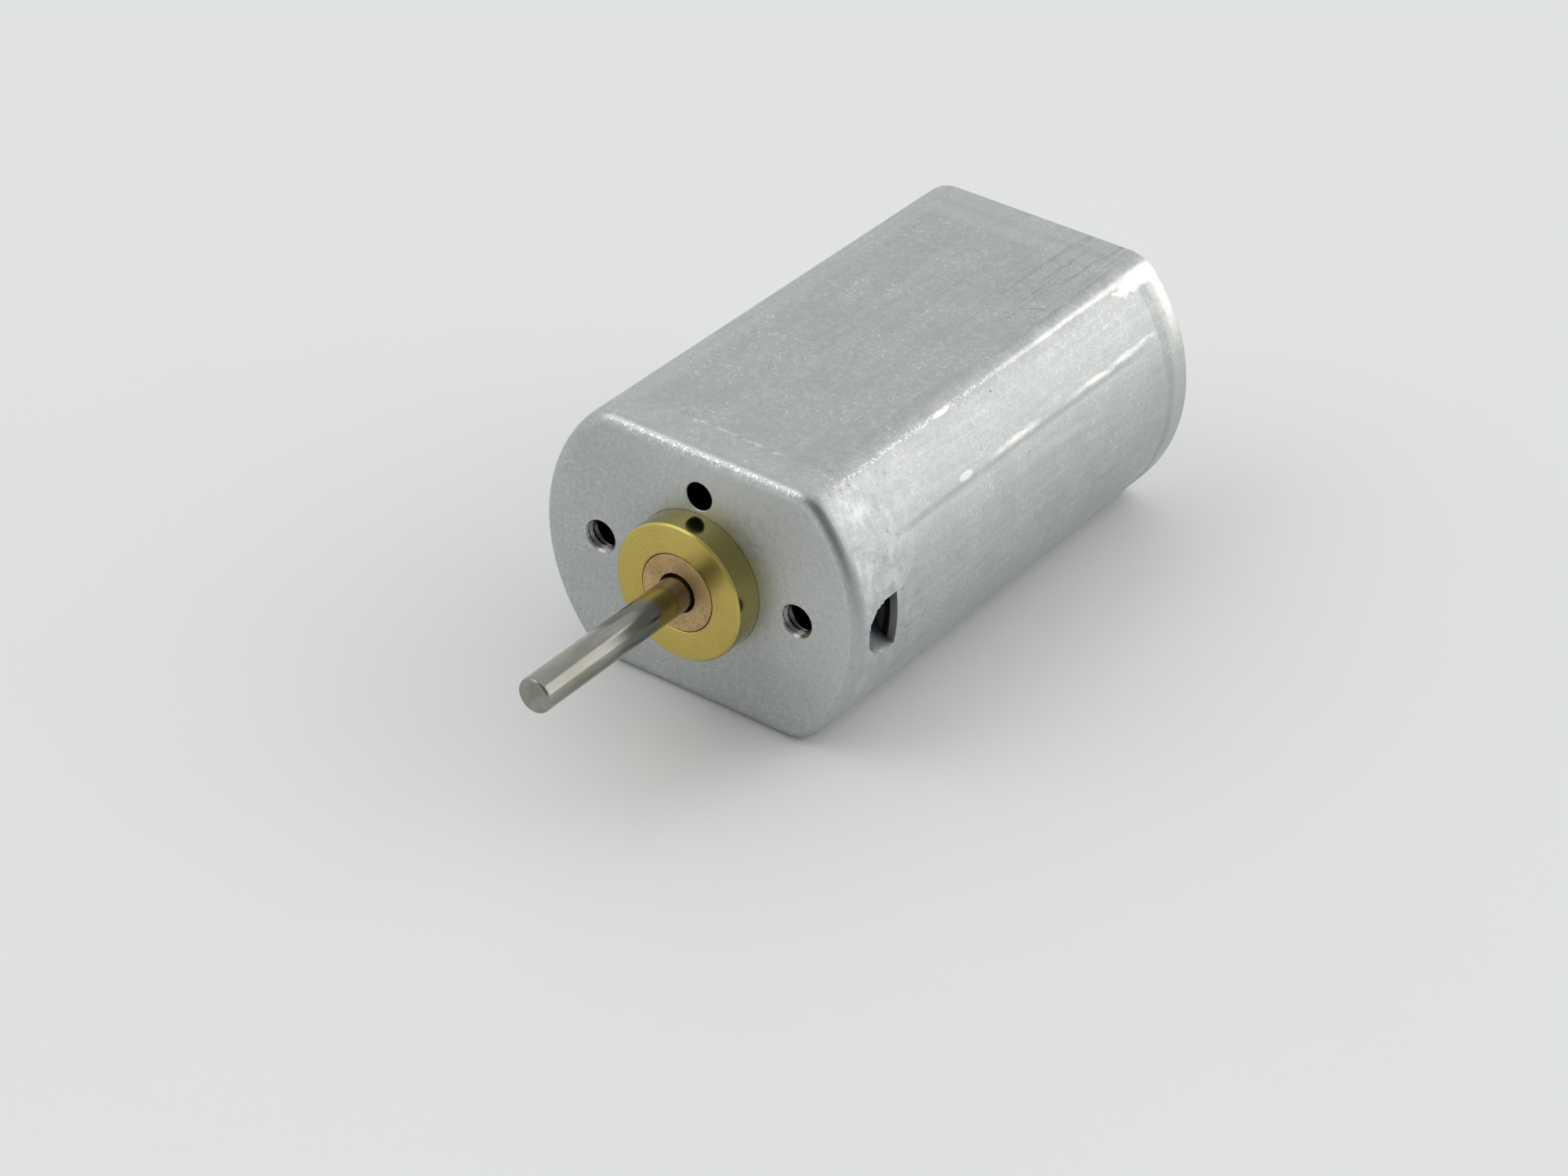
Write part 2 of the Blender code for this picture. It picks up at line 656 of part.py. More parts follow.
def add_terminals(motor):
    low = TERMINAL_PLACE - TERMINAL_THICKNESS / 2
    high = TERMINAL_PLACE + TERMINAL_THICKNESS / 2
    hole = circle((SOLDER_HOLE_PLACE, 0), SOLDER_HOLE_RADIUS, steps=20)
    width = TERMINAL_HALF_WIDTH + OVERLAP
    coined = (TERMINAL_PLACE - TAB_THICKNESS / 2, TERMINAL_PLACE + TAB_THICKNESS / 2)
    for side in ("right", "left"):
        name = "terminal_" + side
        mesh = plate_mesh(name, [terminal_outline(), hole], "X", low, high)
        dies = {"inner": (low - OVERLAP, coined[0]), "outer": (coined[1], high + OVERLAP)}
        if side == "left":
            opposite(mesh)
            dies = {face: (-far, -near) for face, (near, far) in dies.items()}
        terminal = motor.part(name, mesh, "tinned_brass")
        for face, (near, far) in dies.items():
            die = f"die_{face}_{side}"
            mesh = box_mesh(die, (near, TAB_ROOT, -width), (far, TERMINAL_END + OVERLAP, width))
            combine(terminal, motor.helper(die, mesh), "DIFFERENCE")
        settle(terminal)


# The brushes, which spring away from the commutator


def add_brushes(motor):
    for side, pivot in (("right", motor.brush_right), ("left", motor.brush_left)):
        name = "brush_arm_" + side
        arm = plate_mesh(name, [arm_outline()], "Y", BRUSH_FRONT, BRUSH_REAR)
        low = (COMMUTATOR_RADIUS / 2, BRUSH_FRONT, -BRUSH_HALF_HEIGHT)
        high = (BRUSH_BACK, BRUSH_REAR, BRUSH_HALF_HEIGHT)
        block = box_mesh("carbon_brush_" + side, low, high)
        if side == "left":
            opposite(arm)
            opposite(block)
        settle(motor.part(name, arm, "phosphor_bronze", pivot))
        brush = motor.part("carbon_brush_" + side, block, "carbon", pivot)
        face = [circle((0, 0), COMMUTATOR_RADIUS + REST)]
        through = (BRUSH_FRONT - OVERLAP, BRUSH_REAR + OVERLAP)
        face = plate_mesh("brush_face_" + side, face, "Y", *through)
        combine(brush, motor.helper("brush_face_" + side, face), "DIFFERENCE")
        settle(brush)


# The rotor


def add_shaft(motor):
    edge = SHAFT_TIP_ROUND
    tip = arc((SHAFT_RADIUS - edge, edge - SHAFT_REACH), edge, 0, -90, 4)
    profile = [(0, SHAFT_REAR), (SHAFT_RADIUS - edge / 2, SHAFT_REAR)]
    profile += [(SHAFT_RADIUS, SHAFT_REAR - edge / 2)]
    profile += tip
    profile += [(0, -SHAFT_REACH)]
    mesh = turned_mesh("shaft", profile, closed=False)
    settle(motor.part("shaft", mesh, "ground_steel", motor.rotor))


def add_collars(motor):
    for name, (inner, outer, front, rear, material) in COLLARS.items():
        mesh = ring_mesh(name, inner, outer, front, rear)
        settle(motor.part(name, mesh, material, motor.rotor))


def add_laminations(motor):
    hole = circle((0, 0), SHAFT_HOLE)
    mesh = plate_mesh("lamination_stack", [pole_outline(), hole], "Y", STACK_FRONT, STACK_REAR)
    settle(motor.part("lamination_stack", mesh, "electrical_steel", motor.rotor))
    faces = {
        "front_insulator": STACK_FRONT - REST - INSULATOR_THICKNESS,
        "rear_insulator": STACK_REAR + REST,
    }
    for name, front in faces.items():
        outlines = [pole_outline(INSULATOR_SETBACK), hole]
        mesh = plate_mesh(name, outlines, "Y", front, front + INSULATOR_THICKNESS)
        settle(motor.part(name, mesh, "fibre", motor.rotor))


def add_coils(motor):
    """One winding round each pole's neck, drawn for the pole that points up and then turned."""
    inner_width = NECK_HALF_WIDTH + REST
    front = STACK_FRONT - INSULATOR_THICKNESS - 2 * REST
    rear = STACK_REAR + INSULATOR_THICKNESS + 2 * REST
    inside = rounded_rectangle(inner_width, front, rear, COIL_ROUNDING)
    outside = rounded_rectangle(inner_width + COIL_SIDE, front - COIL_SIDE, rear + COIL_SIDE, COIL_SIDE)
    for letter, angle in POLE_ANGLES.items():
        name = "coil_" + letter
        mesh = plate_mesh(name, [outside, inside], "Z", COIL_INNER_RADIUS, COIL_OUTER_RADIUS)
        mesh.transform(Matrix.Rotation(math.radians(angle), 4, "Y"))
        settle(motor.part(name, mesh, "enamelled_copper", motor.rotor))


def add_commutator(motor):
    front = STACK_REAR + INSULATOR_THICKNESS + COIL_SIDE + 3 * REST
    rear = COMMUTATOR_REAR + REST
    flange_rear = front + HUB_FLANGE_THICKNESS
    flange_radius = COMMUTATOR_SLEEVE_RADIUS + HUB_FLANGE_REACH
    profile = [
        (SHAFT_HOLE, rear),
        (COMMUTATOR_SLEEVE_RADIUS, rear),
        (COMMUTATOR_SLEEVE_RADIUS, flange_rear),
        (flange_radius, flange_rear),
        (flange_radius, front),
        (SHAFT_HOLE, front),
    ]
    hub = turned_mesh("commutator_hub", profile)
    settle(motor.part("commutator_hub", hub, "nylon_natural", motor.rotor))
    inner = COMMUTATOR_SLEEVE_RADIUS + REST
    for letter, angle in POLE_ANGLES.items():
        middle = 90 + POLE_PITCH / 2 - angle
        name = "commutator_segment_" + letter
        shell = sector_outline(inner, COMMUTATOR_RADIUS, middle, SEGMENT_HALF_ANGLE, 16)
        mesh = plate_mesh(name, [shell], "Y", RISER_FRONT, COMMUTATOR_REAR)
        segment = motor.part(name, mesh, "copper", motor.rotor)
        root = (inner + COMMUTATOR_RADIUS) / 2
        tab = sector_outline(root, RISER_RADIUS, middle, RISER_HALF_ANGLE, 3)
        name = "riser_" + letter
        tab = plate_mesh(name, [tab], "Y", RISER_FRONT + FIT, COMMUTATOR_FRONT)
        combine(segment, motor.helper(name, tab), "UNION")
        settle(segment)


def main():
    clear_scene()
    motor = Motor()
    motor.define("zinc_plated_steel", (0.50, 0.52, 0.53), 0.38, 1.0)
    motor.define("brass", (0.72, 0.55, 0.22), 0.30, 1.0)
    motor.define("sintered_bronze", (0.50, 0.30, 0.17), 0.65, 0.8)
    motor.define("ferrite", (0.045, 0.045, 0.05), 0.75, 0.1)
    motor.define("spring_steel", (0.45, 0.45, 0.46), 0.35, 1.0)
    motor.define("nylon", (0.62, 0.60, 0.54), 0.55, 0.0)
    motor.define("nylon_natural", (0.70, 0.66, 0.55), 0.55, 0.0)
    motor.define("tinned_brass", (0.66, 0.66, 0.62), 0.35, 1.0)
    motor.define("phosphor_bronze", (0.60, 0.38, 0.20), 0.35, 1.0)
    motor.define("carbon", (0.02, 0.02, 0.02), 0.80, 0.0)
    motor.define("ground_steel", (0.60, 0.60, 0.60), 0.15, 1.0)
    motor.define("fibre", (0.25, 0.12, 0.06), 0.80, 0.0)
    motor.define("varistor_ceramic", (0.10, 0.10, 0.12), 0.60, 0.0)
    motor.define("electrical_steel", (0.30, 0.30, 0.32), 0.50, 1.0)
    motor.define("enamelled_copper", (0.55, 0.20, 0.08), 0.35, 0.6)
    motor.define("copper", (0.75, 0.38, 0.22), 0.25, 1.0)
    add_can(motor)
    add_front_bearing(motor)
    add_magnets(motor)
    add_magnet_spring(motor)
    add_end_cap(motor)
    add_terminals(motor)
    add_brushes(motor)
    add_shaft(motor)
    add_collars(motor)
    add_laminations(motor)
    add_coils(motor)
    add_commutator(motor)


main()
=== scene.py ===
"""The looks of a small brushed DC motor in a flatted steel can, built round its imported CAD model.

Shapes are worked out in millimetres in the motor's own frame: the shaft lies along Y and points to
-Y, and the origin is the centre of the can's front face. MOTOR_FRAME carries them to the row's frame.
"""

import math

import bmesh
import bpy
from mathutils import Matrix, Vector


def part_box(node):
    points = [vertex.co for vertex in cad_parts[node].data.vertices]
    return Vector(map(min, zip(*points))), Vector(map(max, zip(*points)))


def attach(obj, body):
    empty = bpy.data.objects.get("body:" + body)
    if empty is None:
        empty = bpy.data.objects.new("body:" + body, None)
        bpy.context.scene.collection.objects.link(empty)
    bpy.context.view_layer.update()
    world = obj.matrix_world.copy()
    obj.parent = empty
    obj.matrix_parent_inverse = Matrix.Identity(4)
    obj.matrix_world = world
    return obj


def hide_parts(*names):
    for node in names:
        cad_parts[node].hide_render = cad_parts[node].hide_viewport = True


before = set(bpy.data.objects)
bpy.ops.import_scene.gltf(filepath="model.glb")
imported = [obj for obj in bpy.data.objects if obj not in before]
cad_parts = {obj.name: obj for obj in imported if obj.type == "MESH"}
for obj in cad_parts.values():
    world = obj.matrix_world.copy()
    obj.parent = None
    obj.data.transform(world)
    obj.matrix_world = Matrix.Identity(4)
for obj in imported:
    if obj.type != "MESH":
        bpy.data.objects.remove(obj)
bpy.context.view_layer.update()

MM = 0.001
CAN_LOW, CAN_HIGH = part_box("can")
ORIGIN = Vector((0, CAN_LOW.y, (CAN_LOW.z + CAN_HIGH.z) / 2))
MOTOR_FRAME = Matrix.Translation(ORIGIN) @ Matrix.Scale(MM, 4)
SHARP_ANGLE = math.radians(35)
TURN_STEPS = 128

# The can, in millimetres, with the threads, the magnet stops (LANCE) and the crimps that are part of it
CAN_RADIUS = (CAN_HIGH.x - CAN_LOW.x) / 2 / MM
CAN_HALF_HEIGHT = (CAN_HIGH.z - CAN_LOW.z) / 2 / MM
CAN_LENGTH = (CAN_HIGH.y - CAN_LOW.y) / MM
CAN_CORNER = 2.4
CAN_WALL = 0.8
FRONT_FILLET = 0.7
INNER_FILLET = 0.25
RIM_ROUND = 0.08
GROOVE_PLACE = 30.45
GROOVE_HALF_WIDTH = 0.5
GROOVE_DEPTH = 0.06
SEAT_RADIUS = 4.01
SEAT_DEPTH = 0.1
SPIGOT_RADIUS = 3.03
VENT_RADIUS = 0.8
VENT_HEIGHT = 5.03
SCREW_PLACE = 6.35
THREAD_CORE = 0.8
THREAD_DEPTH = 0.17
THREAD_PITCH = 0.4
LANCE_CUT = 3.52
LANCE_LENGTH = 2.45
LANCE_HALF_WIDTH = 1.6
LANCE_DEPTH = 1.4
LANCE_SQUARENESS = 2.5
LANCE_FALL = 2.6
# Across, where the rubbed line and the painted highlight run along the can's upper corners
CREASE_PLACE = 6.98
CRIMP_PLACE = 3.4
CRIMP_HALF_WIDTH = 1.2
CRIMP_REACH = 1.0
CRIMP_FRONT = 31.4
CRIMP_REAR = 32.0
CRIMP_ROUND = 0.15

# The bearings, the shaft and the rear, with the gap between a piece and its neighbour
FIT_GAP = 0.03
BOSS_RADIUS = 4.0
BOSS_FRONT = -1.75
BOSS_CHAMFER = 0.12
STAKE_RADIUS = 3.5
STAKE_HEIGHT = 0.4
BUSH_RADIUS = 2.23
BUSH_REAR = 1.6
BORE_RADIUS = 1.03
MOUTH_RADIUS = 1.15
MOUTH_DEPTH = 0.25
SHAFT_RADIUS = 1.0
SHAFT_TIP = -13.48
SHAFT_REAR = 33.9
SHAFT_ROUND = 0.22
REAR_BUSH_RADIUS = 1.95
REAR_BUSH_FRONT = 28.75
REAR_BUSH_END = 33.2
CAP_FRONT = 23.0
CAP_FLOOR = 29.3
CAP_REAR = 31.35
CAP_INSET = 0.85
CAP_SKIRT = 1.0
CAP_ROUND = 0.12
REAR_BOSS_RADIUS = 3.075
REAR_BOSS_END = 33.4
TERMINAL_PLACE = 7.2
TERMINAL_SLOT = (0.25, 1.25)
COLLAR_WALL = 0.55
COLLAR_HEIGHT = 0.35
PIN_MARK_PLACE = (4.6, 4.1)
PIN_MARK_RADIUS = 0.6
PLUS_PLACE = (4.75, 1.7)
PLUS_ARM = 0.5
PLUS_HALF_WIDTH = 0.13
PLUS_HEIGHT = 0.12

# The floor, in metres
FLOOR_HALF_SIZE = 0.9
FLOOR_GAP = 0.00002

# The camera, in the motor's own frame
CAMERA_PLACE = Vector((98.927, -134.755, 111.954))
CAMERA_AZIMUTH = math.radians(34.732)
CAMERA_ELEVATION = math.radians(33.912)
CAMERA_ROLL = math.radians(2.173)
CAMERA_LENS = 89.02
SENSOR_WIDTH = 36.0

# The direction from the motor to the darker side of the room
ONLOOKER = Vector((0.50, -0.68, 0.54))


# Materials


class Finish:
    """A procedural material. Its textures are laid out in millimetres in the motor's own frame."""

    def __init__(self, name, colour, roughness, metallic=0.0, **constants):
        self.material = bpy.data.materials.new(name + "_finish")
        self.material["slot"] = name
        self.material.use_nodes = True
        self.tree = self.material.node_tree
        self.shader = self.tree.nodes["Principled BSDF"]
        self.shader.inputs["Base Color"].default_value = (*colour, 1)
        self.shader.inputs["Roughness"].default_value = roughness
        self.shader.inputs["Metallic"].default_value = metallic
        for socket, value in constants.items():
            self.shader.inputs[socket.replace("_", " ")].default_value = value
        mapping = self.add("ShaderNodeMapping")
        mapping.inputs["Location"].default_value = -ORIGIN / MM
        mapping.inputs["Scale"].default_value = (1 / MM,) * 3
        self.link(self.add("ShaderNodeTexCoord").outputs["Object"], mapping.inputs["Vector"])
        self.place = mapping.outputs["Vector"]
        self.normal = None

    def add(self, kind, **settings):
        node = self.tree.nodes.new(kind)
        for setting, value in settings.items():
            setattr(node, setting, value)
        return node

    def link(self, source, socket):
        """Joins a socket to another one, or sets it to a number or a colour."""
        if isinstance(source, bpy.types.NodeSocket):
            self.tree.links.new(source, socket)
        else:
            socket.default_value = source

    def math(self, operation, *values, clamp=False):
        node = self.add("ShaderNodeMath", operation=operation, use_clamp=clamp)
        for value, socket in zip(values, node.inputs):
            self.link(value, socket)
        return node.outputs[0]

    def axes(self):
        """X, Y and Z of the shaded point."""
        node = self.add("ShaderNodeSeparateXYZ")
        self.link(self.place, node.inputs[0])
        return node.outputs

    def radius(self):
        """How far the shaded point is from the shaft's axis."""
        x, _, z = self.axes()
        return self.math("SQRT", self.math("ADD", self.math("POWER", x, 2.0), self.math("POWER", z, 2.0)))

    def noise(self, scale, detail=3.0, stretch=(1, 1, 1), roughness=0.55):
        """Noise from 0 to 1, with about one feature every 1 / scale millimetres."""
        mapping = self.add("ShaderNodeMapping")
        mapping.inputs["Scale"].default_value = stretch
        self.link(self.place, mapping.inputs["Vector"])
        node = self.add("ShaderNodeTexNoise")
        self.link(mapping.outputs["Vector"], node.inputs["Vector"])
        node.inputs["Scale"].default_value = scale
        node.inputs["Detail"].default_value = detail
        node.inputs["Roughness"].default_value = roughness
        return node.outputs["Fac"]

    def lines(self, value, pitch):
        """Even waves from 0 to 1 along a value, one every pitch."""
        wave = self.math("SINE", self.math("MULTIPLY", value, 2 * math.pi / pitch))
        return self.math("MULTIPLY_ADD", wave, 0.5, 0.5)

    def cells(self, scale):
        node = self.add("ShaderNodeTexVoronoi")
        self.link(self.place, node.inputs["Vector"])
        node.inputs["Scale"].default_value = scale
        return node.outputs["Color"]

    def step(self, value, low, high, start=0.0, end=1.0):
        """A smooth change from start to end as the value goes from low to high."""
        node = self.add("ShaderNodeMapRange", interpolation_type="SMOOTHSTEP")
        for source, socket in zip((value, low, high, start, end), node.inputs):
            self.link(source, socket)
        return node.outputs["Result"]

    def band(self, value, middle, half_width, softness):
        """1 where the value is within half_width of the middle, and 0 past that plus the softness."""
        off = self.math("ABSOLUTE", self.math("SUBTRACT", value, middle))
        return self.step(off, half_width, half_width + softness, 1.0, 0.0)

    def spot(self, first, second, half_first, half_second):
        """1 inside an ellipse about (0, 0), fading outwards past its edge."""
        a = self.math("POWER", self.math("DIVIDE", first, half_first), 2.0)
        b = self.math("POWER", self.math("DIVIDE", second, half_second), 2.0)
        return self.step(self.math("ADD", a, b), 0.6, 1.4, 1.0, 0.0)

    def product(self, *values):
        result = values[0]
        for value in values[1:]:
            result = self.math("MULTIPLY", result, value)
        return result

    def total(self, *values):
        result = values[0]
        for value in values[1:]:
            result = self.math("ADD", result, value, clamp=True)
        return result

    def mix(self, amount, first, second):
        node = self.add("ShaderNodeMix", data_type="RGBA")
        self.link(amount, node.inputs["Factor"])
        for colour, socket in ((first, node.inputs[6]), (second, node.inputs[7])):
            self.link((*colour, 1) if isinstance(colour, tuple) else colour, socket)
        return node.outputs[2]

    def tint(self, tone, colour, *masks):
        """A tone, moved towards a colour by the product of the masks."""
        return self.mix(self.product(*masks), tone, colour)

    def blend(self, amount, first, second):
        """A number between two others."""
        node = self.add("ShaderNodeMix", data_type="FLOAT")
        self.link(amount, node.inputs[0])
        self.link(first, node.inputs[2])
        self.link(second, node.inputs[3])
        return node.outputs[0]

    def colour(self, source):
        self.link(source, self.shader.inputs["Base Color"])

    def rough(self, source):
        self.link(source, self.shader.inputs["Roughness"])

    def bump(self, height, depth):
        """Raises the surface by up to depth, in millimetres, where the height is 1."""
        node = self.add("ShaderNodeBump")
        node.inputs["Distance"].default_value = depth * MM
        self.link(height, node.inputs["Height"])
        if self.normal:
            self.link(self.normal, node.inputs["Normal"])
        self.normal = node.outputs["Normal"]
        self.link(self.normal, self.shader.inputs["Normal"])


def on_curved_sides(f):
    """1 on the can's curved sides and 0 on its flats."""
    return f.step(f.math("ABSOLUTE", f.axes()[0]), 6.6, 7.4)


def on_right(f):
    return f.step(f.axes()[0], 5.0, 6.0)


def on_top(f):
    """1 on the can's top flat and its two creases."""
    return f.step(f.axes()[2], 6.6, 7.0)


def on_fillet(f):
    """1 on the rounded edge of the can's front."""
    y = f.axes()[1]
    return f.product(f.step(y, 0.05, 0.16), f.step(y, 0.74, 0.50))


def zinc_steel():
    """Zinc-plated drawn sheet: mottled grey, with draw lines, rubbed bright creases and a few scuffs, plus
    painted highlights on the creases, front lip and rim, painted light on the front face, and painted shade
    in the groove, the right front fillet and the openings.
    """
    f = Finish("zinc_plated_steel", (0.48, 0.495, 0.495), 0.5, 1.0)
    mottle = f.noise(2.4, 5)
    grain = f.noise(9.0, 4, roughness=0.7)
    draw = f.noise(1.0, 5, (3.0, 0.12, 3.0), 0.7)
    rubs_and_highlights = rubs_and_painted_highlights(f)
    tone = worked_tones_and_shade(f, plating_tone(f, mottle, grain, draw))
    tone = f.tint(tone, (0.24, 0.25, 0.25), dark_marks(f))
    # Rubbed wear and painted highlights, lightened towards a pale grey.
    tone = f.tint(tone, (0.88, 0.88, 0.85), rubs_and_highlights)
    tone, thread = opening_shades(f, tone)
    f.colour(tone)
    rough = f.blend(f.step(mottle, 0.35, 0.65), 0.46, 0.56)
    rough = f.blend(on_fillet(f), rough, 0.30)
    rough = f.blend(rubs_and_highlights, rough, 0.34)
    f.rough(f.blend(thread, rough, 0.16))
    f.bump(mottle, 0.010)
    f.bump(grain, 0.008)
    f.bump(f.product(draw, on_curved_sides(f)), 0.008)
    f.bump(f.product(f.noise(5.0, 2), rubs_and_highlights), 0.03)
    return f.material


def plating_tone(f, mottle, grain, draw):
    """The plating's colour before any wear: clouds, blotches, draw lines and specks, with painted light on
    the front face.
    """
    side = on_curved_sides(f)
    clouds = f.noise(0.30, 4)
    tone = f.mix(f.step(clouds, 0.3, 0.7), (0.455, 0.472, 0.472), (0.495, 0.508, 0.505))
    tone = top_flat_tones(f, front_face_light_and_blotches(f, tone))
    tone = f.tint(tone, (0.58, 0.595, 0.585), f.step(mottle, 0.46, 0.66), 0.45)
    tone = f.tint(tone, (0.38, 0.39, 0.39), f.step(mottle, 0.44, 0.28), 0.35)
    tone = f.tint(tone, (0.64, 0.645, 0.625), f.step(draw, 0.5, 0.72), f.blend(side, 0.16, 0.45))
    tone = f.tint(tone, (0.38, 0.39, 0.385), f.step(draw, 0.46, 0.28), side, 0.3)
    tone = f.tint(tone, (0.68, 0.69, 0.675), f.step(grain, 0.52, 0.70), 0.6)
    tone = f.tint(tone, (0.33, 0.34, 0.34), f.step(grain, 0.46, 0.30), 0.5)
    specks = f.step(f.noise(5.0, 2), 0.59, 0.67)
    return f.tint(tone, (0.76, 0.77, 0.74), specks, f.step(clouds, 0.40, 0.6), 0.55)


def front_face_light_and_blotches(f, tone):
    """The front face's painted light, paler towards its upper right, and its blotches."""
    x, y, z = f.axes()
    face = f.step(y, 0.06, 0.02)
    # Painted light: the front face is lightened towards its upper right.
    tone = f.tint(tone, (0.60, 0.612, 0.60), face, f.step(f.math("ADD", x, z), -1.0, 8.0), 0.85)
    blotches = f.noise(3.2, 3, roughness=0.7)
    tone = f.tint(tone, (0.66, 0.67, 0.655), face, f.step(blotches, 0.50, 0.62), 0.28)
    return f.tint(tone, (0.38, 0.39, 0.385), face, f.step(blotches, 0.48, 0.36), 0.28)


def top_flat_tones(f, tone):
    """The top flat's duller middle, its lengthwise draw lines and the darker streaks at its rear."""
    x, y, z = f.axes()
    flat = f.product(f.step(z, 7.4, 7.6), f.step(y, 2.2, 2.7))
    tone = f.tint(tone, (0.40, 0.412, 0.41), flat, 0.38)
    # Paler towards the rear edge and along the left edge.
    paler_bands = f.total(f.step(y, 28.6, 29.4), f.step(x, -5.2, -6.0))
    tone = f.tint(tone, (0.56, 0.57, 0.56), flat, paler_bands, 0.45)
    pulled = f.noise(1.0, 4, (2.2, 0.06, 1.0), 0.6)
    tone = f.tint(tone, (0.31, 0.32, 0.33), flat, f.step(pulled, 0.50, 0.70), 0.20)
    tone = f.tint(tone, (0.56, 0.575, 0.57), flat, f.step(pulled, 0.46, 0.32), 0.20)
    fine_lines = f.step(f.noise(1.0, 3, (4.0, 0.12, 1.0)), 0.5, 0.6)
    streaks = f.product(f.step(y, 19.0, 25.0), f.step(x, 1.5, 3.5), fine_lines)
    return f.tint(tone, (0.25, 0.26, 0.265), flat, streaks, 0.4)


def worked_tones_and_shade(f, tone):
    """The plating stretched by the press at the front of the curved sides, painted shade in the rounded
    edge on the right of the front face, and the rim with painted shade in its groove.
    """
    x, y, z = f.axes()
    side = on_curved_sides(f)
    worked = f.product(side, f.step(y, 8.0, 2.0), f.step(y, 0.7, 1.0), f.step(z, -5.0, 0.0))
    waves = f.noise(1.0, 4, (0.7, 1.0, 0.7), 0.6)
    tone = f.tint(tone, (0.76, 0.77, 0.75), worked, f.step(waves, 0.46, 0.66), 0.5)
    tone = f.tint(tone, (0.33, 0.34, 0.34), worked, f.step(waves, 0.44, 0.30), 0.6)
    tone = f.tint(tone, (0.40, 0.415, 0.41), on_fillet(f), 0.4)
    # Painted shade: a dark band in the rounded edge on the right of the front face.
    corner = f.product(f.step(x, 6.0, 7.2), f.step(z, -1.0, 4.5))
    tone = f.tint(tone, (0.20, 0.21, 0.21), f.band(y, 0.46, 0.14, 0.30), corner, 0.4)
    tone = f.tint(tone, (0.62, 0.62, 0.585), f.step(y, 30.85, 31.05), side, 0.2)
    # Painted shade in the sizing groove, stronger on the curved sides.
    groove = f.band(y, GROOVE_PLACE, 0.10, 0.45)
    return f.tint(tone, (0.30, 0.31, 0.31), groove, f.blend(side, 0.12, 0.25))


def rubs_and_painted_highlights(f):
    """Where handling and the press tools have rubbed the plating bright, and where highlights are painted
    on, from 0 to 1.
    """
    return f.total(crease_wear_and_highlight(f), top_scuffs_and_glints(f), side_streaks_and_rim_highlight(f))


def crease_wear_and_highlight(f):
    """The can's upper creases and its upper rear corner, rubbed bright, with a painted highlight along the
    creases and flecks towards the front.
    """
    x, y, _ = f.axes()
    upper = on_top(f)
    flecks = f.noise(6.0, 3)
    ragged = f.math("MULTIPLY_ADD", f.noise(1.5, 2), 0.07, x)
    off = f.math("ABSOLUTE", f.math("SUBTRACT", ragged, CREASE_PLACE))
    # Painted highlight along the crease, mixed with rubbed flecks.
    crease = f.product(
        f.step(off, f.blend(f.step(y, 24.0, 31.0), 0.19, 0.30), 0.02),
        f.step(y, 1.6, 2.6),
        upper,
        f.blend(f.step(y, 12.0, 24.0), f.step(flecks, 0.44, 0.60), 0.85),
    )
    patches = f.step(f.noise(0.8, 4), 0.4, 0.7)
    halo = f.product(f.band(x, 6.9, 0.05, 0.6), f.step(y, 1.6, 3.0), upper, patches)
    torn = f.product(f.math("SUBTRACT", f.noise(1.2, 1), 0.5), 1.2)
    along = f.math("SUBTRACT", f.math("ADD", y, torn), 30.6)
    across = f.math("SUBTRACT", f.math("ADD", x, torn), 7.35)
    corner = f.product(f.spot(along, across, 2.4, 0.42), upper)
    nick = f.product(f.spot(f.math("SUBTRACT", y, 11.5), f.math("SUBTRACT", x, 7.0), 0.7, 0.13), upper)
    paler_bands = f.total(f.product(crease, 0.75), f.product(halo, 0.3))
    return f.total(paler_bands, f.product(corner, 0.8), f.product(nick, 0.8))


def top_scuffs_and_glints(f):
    """The front edge of the top flat, flecked with wear and with painted glints, and a scuff line behind
    it.
    """
    x, y, _ = f.axes()
    upper = on_top(f)
    # Painted glints along the front lip, mixed with rubbed flecks.
    lip = f.product(
        f.band(f.math("MULTIPLY_ADD", f.noise(2.0, 2), 0.16, y), 0.27, 0.03, 0.16),
        upper,
        f.step(f.math("ABSOLUTE", x), 6.6, 5.6),
        f.blend(f.step(f.noise(6.0, 3), 0.50, 0.56), 0.05, 1.2),
    )
    scuff = f.product(
        f.band(f.math("MULTIPLY_ADD", x, 0.025, y), 2.52, 0.02, 0.20),
        f.step(f.math("ABSOLUTE", f.math("SUBTRACT", x, 0.35)), 3.6, 2.4),
        f.step(f.noise(2.4, 2), 0.36, 0.6),
        upper,
    )
    return f.total(f.product(lip, 0.75), f.product(scuff, 0.4))


def side_streaks_and_rim_highlight(f):
    """A long bright streak on the right side, a chafed dot at its front end, and a painted highlight along
    the rim.
    """
    _, y, z = f.axes()
    right = on_right(f)
    streak = f.product(
        f.band(f.math("ADD", z, f.product(f.noise(0.25, 1), 0.25)), 4.62, 0.02, 0.24),
        f.total(
            f.product(f.step(y, 12.6, 15.5), f.step(y, 18.6, 16.6)),
            f.product(f.step(y, 19.6, 24.0), f.step(y, 30.3, 29.2)),
        ),
        right,
        f.step(f.noise(2.2, 3, (1, 0.3, 1)), 0.30, 0.56),
    )
    chafe = f.product(f.spot(f.math("SUBTRACT", y, 11.0), f.math("SUBTRACT", z, 4.5), 0.6, 0.2), right)
    # Painted highlight along the rear rim's rounded edge on the right.
    rim = f.product(f.band(y, 31.75, 0.15, 0.5), f.step(z, 2.6, 5.4), right, f.step(z, 7.4, 7.0))
    return f.total(f.product(streak, 0.6), f.product(chafe, 0.4), f.product(rim, 0.45))


